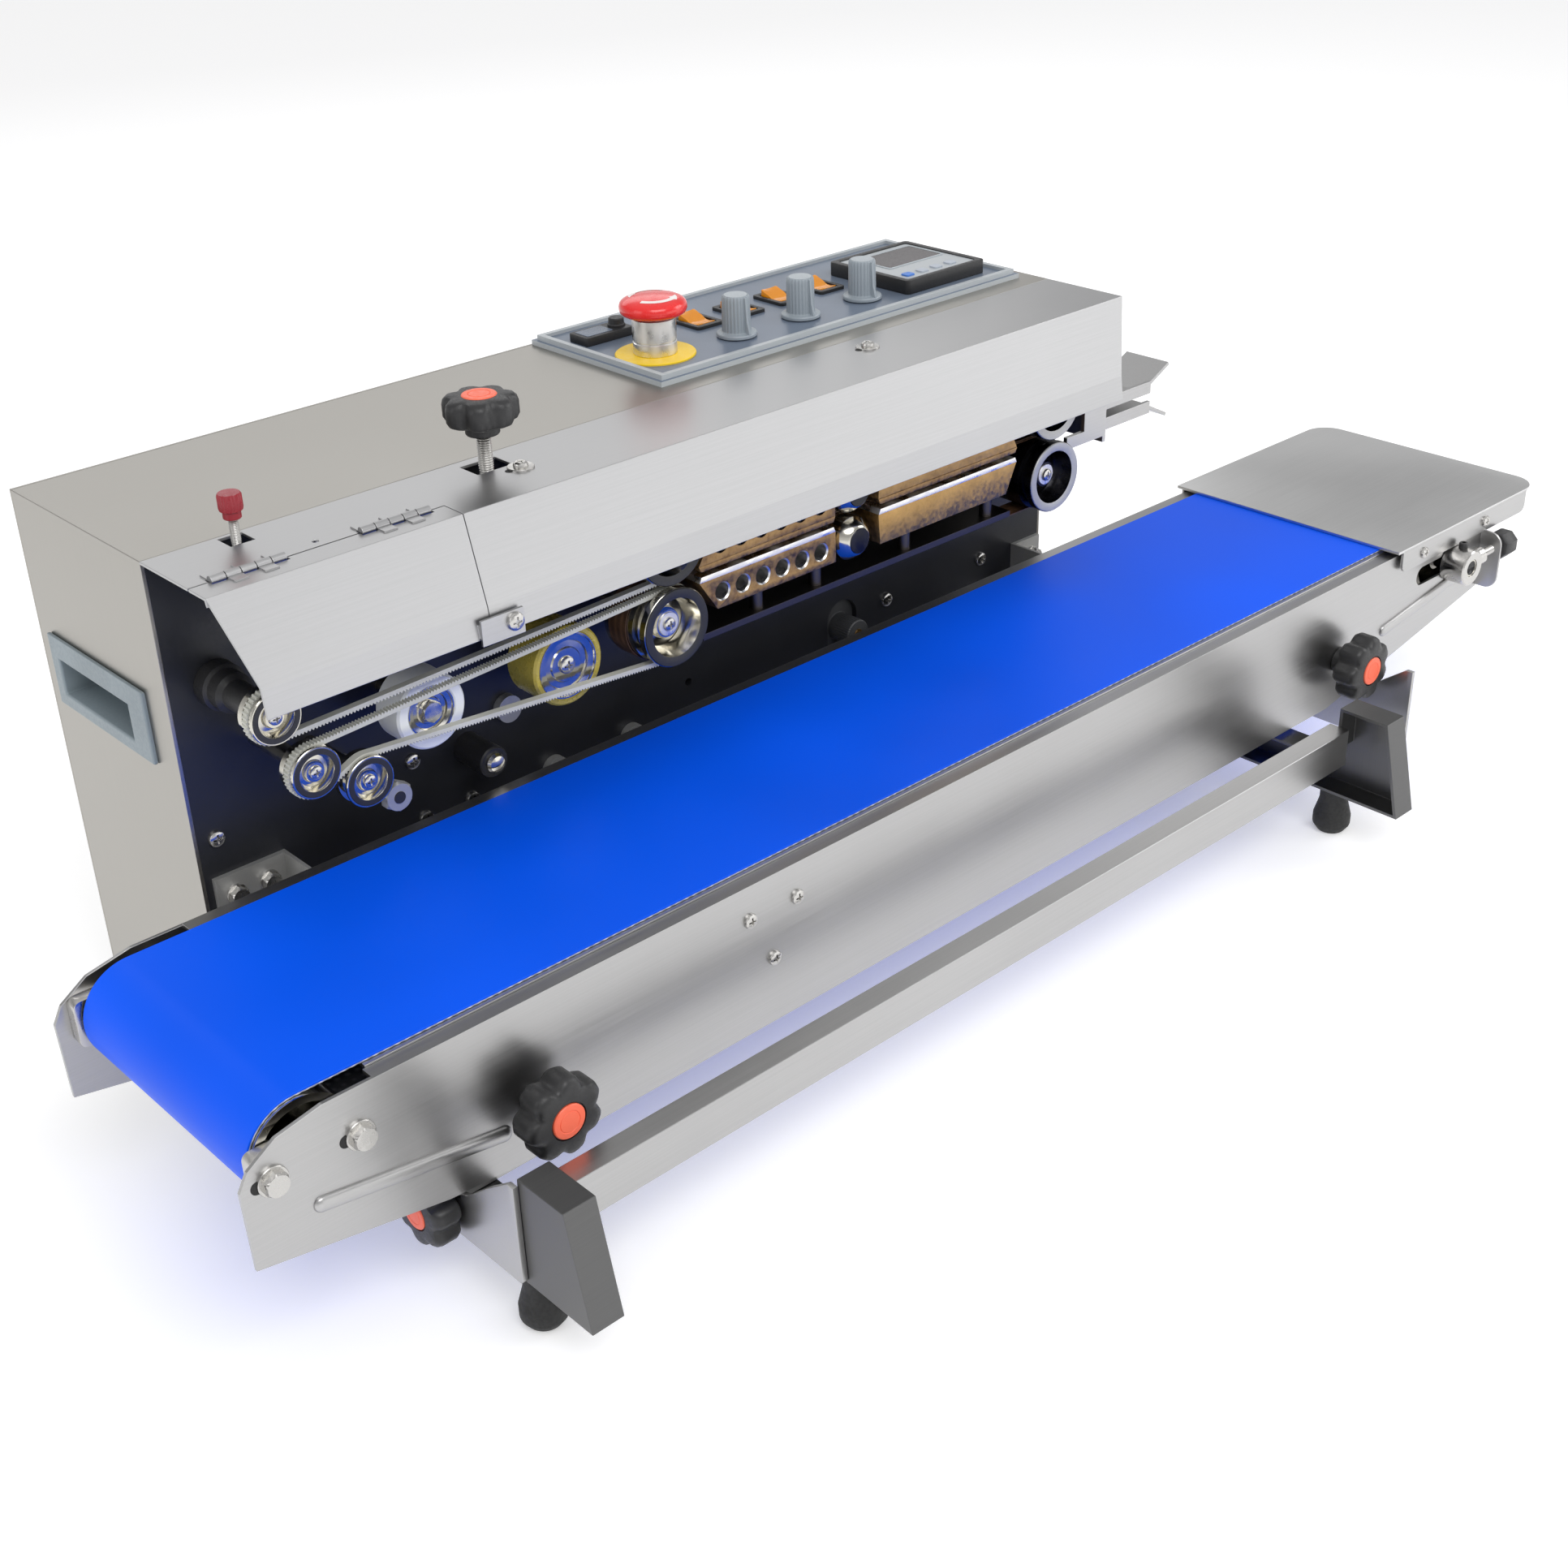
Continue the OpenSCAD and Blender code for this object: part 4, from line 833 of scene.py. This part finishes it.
def estop():
    """Yellow disc, bright collar, and a mushroom whose hollow skirt slides down over the collar."""
    centre = axis_of("estop_button")
    at = mm(centre.x / MM, centre.y / MM, PANEL_Z)
    plate = [(10.9, 0), (24, 0), (24, 0.8), (23.5, 1.3), (10.9, 1.3)]
    add("estop_disc", ring_of(plate, 72), "yellow_plate", "estop_base", at, replaces=True)
    collar = [(7.2, -20), (10.8, -20), (10.8, 1.2), (12.6, 1.2), (13, 1.7), (13, 8), (12.4, 8.5), (12.4, 9.2),
              (13, 9.7), (13, 22.2), (12.4, 22.7), (7.2, 22.7)]
    add("estop_collar", ring_of(collar, 64), "strip", "estop_base", at)
    cap_profile = [(0, -10), (6.8, -10), (6.8, 28.2), (13.7, 28.2), (13.9, 23.9), (14.5, 23.7), (17.5, 24.5),
                   (19.2, 25.7), (20, 27.5), (20, 29.4), (19.4, 31.2), (18, 32.6), (15.5, 33.8), (12, 34.6),
                   (8, 35.1), (4, 35.4), (0, 35.5)]
    add("estop_cap", lathe(cap_profile, 72), "red_plastic", "estop_button", at, replaces=True)
    for turn in (0, 180):
        add(f"estop_arrow_{turn + 1}", curved_arrow(cap_profile, turn), "white_mark", "estop_button", at)


def curved_arrow(profile, turn):
    """An arrow printed on a domed cap, along a circle about its axis."""
    rims = [(r, z) for r, z in profile if z > 31]

    def height(r):
        for (ra, za), (rb, zb) in zip(rims, rims[1:]):
            if rb <= r <= ra:
                return zb + (za - zb) * (r - rb) / (ra - rb) + 0.12
        return rims[-1][1]

    rings = []
    for i in range(33):
        along = i / 32
        half = 1.3 if along < 0.72 else 2.8 * (1 - along) / 0.28
        angle = math.radians(turn + 20 + 125 * along)
        ring = []
        for r, lift in ((13.2 - half, 0), (13.2, 0.03), (13.2 + half + 0.01, 0), (13.2, -0.3)):
            ring.append((r * math.cos(angle), r * math.sin(angle), height(r) + lift))
        rings.append(ring)
    return loft(rings)


def rockers():
    bezel = rounded(-10.5, -14, 10.5, 14, (2,) * 4)
    opening = rounded(-7.6, -10.4, 7.6, 10.4, (0.8,) * 4)
    top = [(-9.5, 2.1), (-6, 1.2), (-2.4, 1.1), (0, 1.7), (2.4, 3.0), (6, 4.1), (9.5, 5.4)]
    side = [(9.5, -1), (4, -8), (-4, -8), (-9.5, -1)]
    for i, x in enumerate(ROCKER_X):
        node = f"rocker_{i + 1}"
        at = mm(x, ROCKER_Y, PANEL_Z)
        add(f"rocker_bezel_{i + 1}", slab([bezel, opening], 0, 2.1), "black_plastic", "switch_bezels", at,
            bevel=0.6, replaces=True)
        add(f"rocker_well_{i + 1}", slab([opening], -9, -8), "black_plastic", "switch_bezels", at)
        rings = []
        for k in range(13):
            u = -1 + k / 6
            bow = 0.5 * abs(u) ** 2.2
            inset = 0.35 if abs(u) > 0.95 else 0
            ring = [(6.7 * u, py * (1 - inset / 10), pz + bow - inset) for py, pz in top]
            ring += [(6.7 * u, py, pz) for py, pz in side]
            rings.append(ring)
        add(f"rocker_cap_{i + 1}", loft(rings), "amber", node, at, bevel=0.25, replaces=True)


def dials():
    def fluted(angle):
        return 1 - 0.05 * (0.5 - 0.5 * math.cos(24 * angle)) ** 2

    skirt = [(0.02, -16), (3, -16), (3, 0.6), (12.1, 0.6), (12.3, 0.9), (12.3, 2.2), (11.9, 2.8), (9.4, 3.2)]
    sides = [(8.9, 3.8), (8.75, 6), (8.55, 22), (8.4, 24), (8.0, 24.8)]
    tapers = ((0.9, 12.1, 2.6), (0.8, 12.1, 3.4), (0.75, 10.2, 10), (0.7, 9.2, 24.4))
    for i, x in enumerate(DIAL_X):
        node = f"dial_knob_{i + 1}"
        at = mm(x, DIAL_Y, PANEL_Z)
        rings = [circle(r, z, 192) for r, z in skirt]
        rings += [circle(r, z, 192, fluted) for r, z in sides]
        rings += [circle(r, z, 192) for r, z in ((7.5, 25), (7.2, 24.8), (0.02, 24.8))]
        add(f"dial_{i + 1}_grip", loft(rings), "knob_grey", node, at, replaces=True)
        ridge = loft([[(-w, -y, z), (w, -y, z), (w, -6, z), (-w, -6, z)] for w, y, z in tapers])
        add(f"dial_{i + 1}_pointer", ridge, "knob_grey", node, at, bevel=0.2)
        top = lathe([(0, 24.6), (7.1, 24.6), (7.1, 25.1), (6.8, 25.3), (0, 25.3)], 48)
        add(f"dial_{i + 1}_disc", top, "panel_rim", node, at)


def controller():
    node = "temp_controller"
    x0, x1, y0, y1 = 126, 198, 108.5, 180.5
    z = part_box(node)[1].z / MM
    bezel = [rounded(x0, y0, x1, y1, (3,) * 4), rounded(x0 + 4.5, y0 + 4.5, x1 - 4.5, y1 - 4.5, (2,) * 4)]
    add("controller_bezel", slab(bezel, PANEL_Z, z), "black_plastic", node, bevel=0.8, replaces=True)
    face = [rounded(x0 + 4, y0 + 4, x1 - 4, y1 - 4, (2,) * 4)]
    add("controller_face", slab(face, PANEL_Z, z - 0.8), "panel_plastic", node)
    window = rounded(142, 140, 190, 170, (1.5,) * 4)
    window_frame = slab([rounded(140.5, 138.5, 191.5, 171.5, (2.5,) * 4), window], z - 0.8, z - 0.3)
    add("controller_window_frame", window_frame, "panel_rim", node, bevel=0.15)
    add("controller_window", slab([window], z - 1, z - 0.55), "screen", node)
    for i, x in enumerate((139, 152, 165, 178)):
        key = slab([rounded(x - 3.6, 118, x + 3.6, 124.5, (1.4,) * 4)], z - 1, z + 0.2)
        add(f"controller_key_{i + 1}", key, "key_pale" if i else "key_blue", node, bevel=0.35)


def panel_meter():
    """Low black case with a window and a small knob, at the panel's left end."""
    node = "control_panel"
    box = slab([rounded(-80, 174, -44, 192, (1.5,) * 4)], PANEL_Z, PANEL_Z + 5.4)
    add("panel_meter_case", box, "black_plastic", node, bevel=0.7)
    window = slab([rounded(-77.5, 176.5, -58, 189.5, (1,) * 4)], PANEL_Z + 5.2, PANEL_Z + 5.7)
    add("panel_meter_window", window, "meter_face", node, bevel=0.15)
    knob = [(0, 0), (5.5, 0), (5.5, 1.2), (4.9, 1.8), (4.7, 4.6), (4.2, 5.2), (0, 5.2)]
    add("panel_meter_knob", lathe(knob, 32), "black_plastic", node, mm(-50.5, 183, PANEL_Z + 5.2))


def top_screws():
    node = "pressure_screw"
    at = Vector((axis_of(node).x, axis_of(node).y, 0))
    add("pressure_stem", lathe(thread(4, 286, 340), 32), "zinc", node, at, replaces=True)
    collar = lathe([(0, 337.6), (8.6, 337.6), (9, 338.2), (9, 342.6), (8.4, 343.2), (0, 343.2)], 40)
    add("pressure_collar", collar, "black_plastic", node, at)
    seat = at + mm(0, 0, 343)
    add("pressure_grip", star_knob(20, 15), "black_plastic", node, seat)
    add("pressure_cap", cap(9.2, 14), "orange_cap", node, seat)
    node = "guide_screw"
    at = Vector((axis_of(node).x, axis_of(node).y, 0))
    add("guide_stem", lathe(thread(2.5, 290, 333, 0.8), 24), "zinc", node, at, replaces=True)
    knurl = knurled(0.05, 24)
    rings = [circle(r, z, 96, knurl if z > 336 and r > 5 else None) for r, z in
             ((0.02, 331), (4.2, 331), (4.5, 331.4), (4.5, 334.6), (5.7, 335.3), (6, 336.4), (6, 342.6),
              (5.4, 343.8), (0.02, 344))]
    add("guide_grip", loft(rings), "dark_red", node, at)


# ------------------------------------------------------------------ conveyor

def conveyor_belt():
    node = "conveyor_belt"
    front, back = (corner.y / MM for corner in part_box(node))
    rollers = [axis_of(roller) / MM for roller in ("drive_roller", "tail_roller")]
    stops = [((roller.x, roller.z), 26.3) for roller in rollers]
    path = even(belt_path(stops, 2.0), 1000)

    def cover(i):
        return [(0.5, front), (1.3, front), (1.5, front + 0.3), (1.5, back - 0.3), (1.3, back), (0.5, back)]

    def fabric(i):
        fray = 0.3 if i % 2 else 0.0
        return [(0, front - fray), (0.55, front - fray), (0.55, back + fray), (0, back + fray)]

    add("belt_cover", sweep(path, cover), "blue_belt", node, replaces=True)
    add("belt_fabric", sweep(path, fabric), "belt_fabric", node)


def loading_plate():
    node = "loading_plate"
    lo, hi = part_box(node)
    x0, x1, y0, y1, z = lo.x / MM, hi.x / MM, lo.y / MM, hi.y / MM, hi.z / MM
    top = slab([rounded(x0, y0, x1, y1, (0.5, 18, 18, 0.5), 10)], z - 2, z)
    add("loading_top", top, "steel_tray", node, bevel=0.4, replaces=True)
    for name, y in (("front", y0), ("back", y1 - 2)):
        skirt = slab([rounded(x0 + 6, z - 17, x1 - 17, z - 0.6, (6, 5, 0, 0))], -y - 2, -y)
        add("loading_skirt_" + name, skirt, "steel_conveyor", node, turn=FRONT, bevel=0.4)
    lip = slab([rounded(y0 + 20, z - 12, y1 - 20, z - 0.5, (5, 5, 0, 0))], 0, 2)
    add("loading_lip", lip, "steel_conveyor", node, mm(x1 - 3, 0, 0), ON_END, bevel=0.4)
    for i, x in enumerate((375, 452)):
        for side, y, turn in (("front", y0, FRONT), ("back", y1, BACK)):
            add(f"loading_screw_{side}_{i + 1}", pan_head(4.0, 2.4), "zinc", node, mm(x, y, z - 9), turn)


def conveyor_fittings():
    node = "conveyor_hardware"
    drive, z = -485.5, 121
    for side, y, turn in (("front", PLATE_F, FRONT), ("back", PLATE_B, BACK)):
        inward = 1 if side == "front" else -1
        inner = y + inward * 2
        lo, hi = sorted((inner, inner + inward * 7.4))
        edge = rounded(drive - 30, z - 13, drive + 30, z + 13, (4,) * 4)
        housing = slab([edge, disc_outline(drive, z, 6.2, 32)], -hi, -lo)
        add(f"bearing_block_{side}", housing, "zinc", node, turn=FRONT, bevel=0.5, replaces=side == "front")
        for k, dx in enumerate((-22, 22)):
            spot = mm(drive + dx, y, z)
            # A thin black sheet shaped like the bolt's adjusting slot: painted shade standing in for the opening.
            slot = slab([rounded(-10.5, -3.4, 3, 3.4, (3.3, 0, 0, 3.3))], 0, 0.15)
            add(f"bearing_slot_{side}_{k + 1}", slot, "black_rubber", node, spot, turn)
            hex_bolt(f"bearing_bolt_{side}_{k + 1}", node, spot, turn, 6.3, 4.4, 7.6)
    for i, (x, height) in enumerate(((-200, 126), (-232.5, 126), (-217, 96.5))):
        add(f"plate_screw_{i + 1}", pan_head(4.2, 2.3), "zinc", node, mm(x, PLATE_F, height), FRONT)
    plate = "conveyor_front_plate"
    for name, ends in (("left", ((-491, 96.6), (-386, 79))), ("right", ((338, 93.7), (440, 108)))):
        add("plate_rib_" + name, bar(ends, 8.5, 2.8), "steel_conveyor", plate, mm(0, PLATE_F + 0.2, 0), FRONT)


def tail_fittings():
    tail = axis_of("tail_roller") / MM
    boss = [(0, 15.4), (5.8, 15.4), (6.2, 17.6), (11.6, 18), (12.5, 17.2), (12.5, 0.6), (0, 0.6)]
    shaft_end = [(0, 15.2), (5.6, 15.2), (5.6, 16.6), (5.0, 17), (0, 17)]
    octagon = polygonal(8)
    grip_levels = ((0.02, 0), (7, 0), (9.2, 0.9), (9.9, 2.4), (9.9, 13), (9.2, 15), (7, 16), (4.4, 16),
                   (4.2, 14.6), (0.02, 14.6))
    for side, y, turn, out in (("front", PLATE_F, FRONT, -1), ("back", PLATE_B, BACK, 1)):
        at = mm(tail.x, y, tail.z)
        add(f"tail_boss_{side}", lathe(boss, 56), "zinc", "tail_blocks", at, turn, replaces=side == "front")
        add(f"tail_shaft_end_{side}", lathe(shaft_end, 32), "black_plastic", "tail_blocks", at, turn)
        rod_y = y + out * 9
        nose = lathe([(0, 0), (6.5, 0), (6.5, 13.6), (5.6, 14.4), (0, 14.4)], 32)
        add(f"tail_nose_{side}", nose, "zinc", "tail_blocks", mm(tail.x + 9.4, rod_y, tail.z), RIGHT)
        set_screw = lathe([(0, 0), (3, 0), (3, 3.8), (2.5, 4.3), (1.5, 4.3), (1.4, 3), (0, 3)], 24)
        add(f"tail_set_screw_{side}", set_screw, "black_plastic", "tail_blocks",
            mm(tail.x, rod_y, tail.z + 12.3))
        rod = lathe(thread(3, 0, 36, 1.0), 24)
        node = "tension_screws"
        add(f"tension_rod_{side}", rod, "zinc", node, mm(tail.x + 10, rod_y, tail.z), RIGHT,
            replaces=side == "front")
        lo, hi = sorted((y, y + out * 16))
        corner = (0, 9, 9, 0) if out > 0 else (9, 0, 0, 9)
        tab = slab([rounded(lo, 92, hi, 133, corner)], 0, 2)
        add(f"tension_tab_{side}", tab, "steel_conveyor", node, mm(tail.x + 39, 0, 0), ON_END, bevel=0.3)
        add(f"tension_nut_{side}", hex_head(5.6, 3), "zinc", node, mm(tail.x + 41.1, rod_y, tail.z), RIGHT)
        grip = [circle(r, z, 48, octagon if r > 7 else None) for r, z in grip_levels]
        add(f"tension_knob_{side}", loft(grip), "black_plastic", node, mm(tail.x + 44, rod_y, tail.z), RIGHT)


def carriage_brackets():
    """Angles: a slotted plate behind the conveyor's front plate, and a side plate against each leg."""
    node = "carriage_brackets"
    lo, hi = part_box(node)
    side = [(-171, 33), (-169, 31), (-100.3, 31), (-100.3, 78), (-125.3, 78), (-125.3, 58), (-131, 60),
            (-150, 76), (-166, 88), (-171, 88)]
    for name, outer, away in (("left", lo.x / MM, 1), ("right", hi.x / MM, -1)):
        clamp_x = CLAMP_X[name]
        x0, x1 = sorted((outer, outer + away * 3))
        hole = [disc_outline(*DEPTH_CLAMP[1:], 4.1)] if name == "left" else []
        add(f"bracket_side_{name}", slab([side] + hole, x0, x1), "steel_conveyor", node, turn=ON_END,
            bevel=0.4, replaces=True)
        x0, x1 = sorted((outer, clamp_x + 24))
        slot = rounded(clamp_x - 4.3, 82.7, clamp_x + 4.3, 109.3, (4.29,) * 4)
        face = slab([rounded(x0, 54.5, x1, 132, (0, 3, 3, 3)), slot], 122.3, 125.3)
        add(f"bracket_face_{name}", face, "steel_conveyor", node, turn=FRONT, bevel=0.4)


def clamp_knobs():
    grips = [("clamp_knob_" + name, mm(x, PLATE_F - 8.2, CLAMP_Z), FRONT, 22, 18, 17)
             for name, x in CLAMP_X.items()]
    grips.append(("depth_clamp", mm(*DEPTH_CLAMP), LEFT, 20, 16, 12))
    for node, at, turn, radius, height, stem in grips:
        add(node + "_grip", star_knob(radius, height), "black_plastic", node, at, turn, replaces=True)
        add(node + "_cap", cap(radius * 0.42, height - 1), "orange_cap", node, at, turn)
        if node != "depth_clamp":
            collar = lathe([(0, -8), (8, -8), (8.4, -7.4), (8.4, -1), (9.5, 0), (0, 0.2)], 40)
            add(node + "_collar", collar, "black_plastic", node, at, turn)
        add(node + "_stem", lathe(thread(4, -stem, 0), 24), "zinc", node, at, turn)


def rubber_feet():
    foot = [(0, 0), (8.4, 0), (9, 0.6), (11.7, 4.4), (12, 5.6), (12, 11.4), (11.6, 12.6), (9.3, 21),
            (9, 22.5), (9, 30), (0, 30)]
    spots = ((-404.3, -167), (238.3, -167), (-395, 195), (197, 195))
    for i, (x, y) in enumerate(spots):
        add(f"rubber_foot_{i + 1}", lathe(foot, 40), "black_rubber", "rubber_feet", mm(x, y, 0), replaces=True)


# ------------------------------------------------------------------ build

MATERIALS = make_materials()
make_camera()
make_studio()
make_floor()
dress_frame()
band_wheels()
guide_pulleys()
soft_wheels()
nip_rollers()
coupling()
guide_belts()
sealing_blocks()
wall_fittings()
brush_cap()
estop()
rockers()
dials()
controller()
panel_meter()
top_screws()
conveyor_belt()
loading_plate()
conveyor_fittings()
tail_fittings()
carriage_brackets()
clamp_knobs()
rubber_feet()
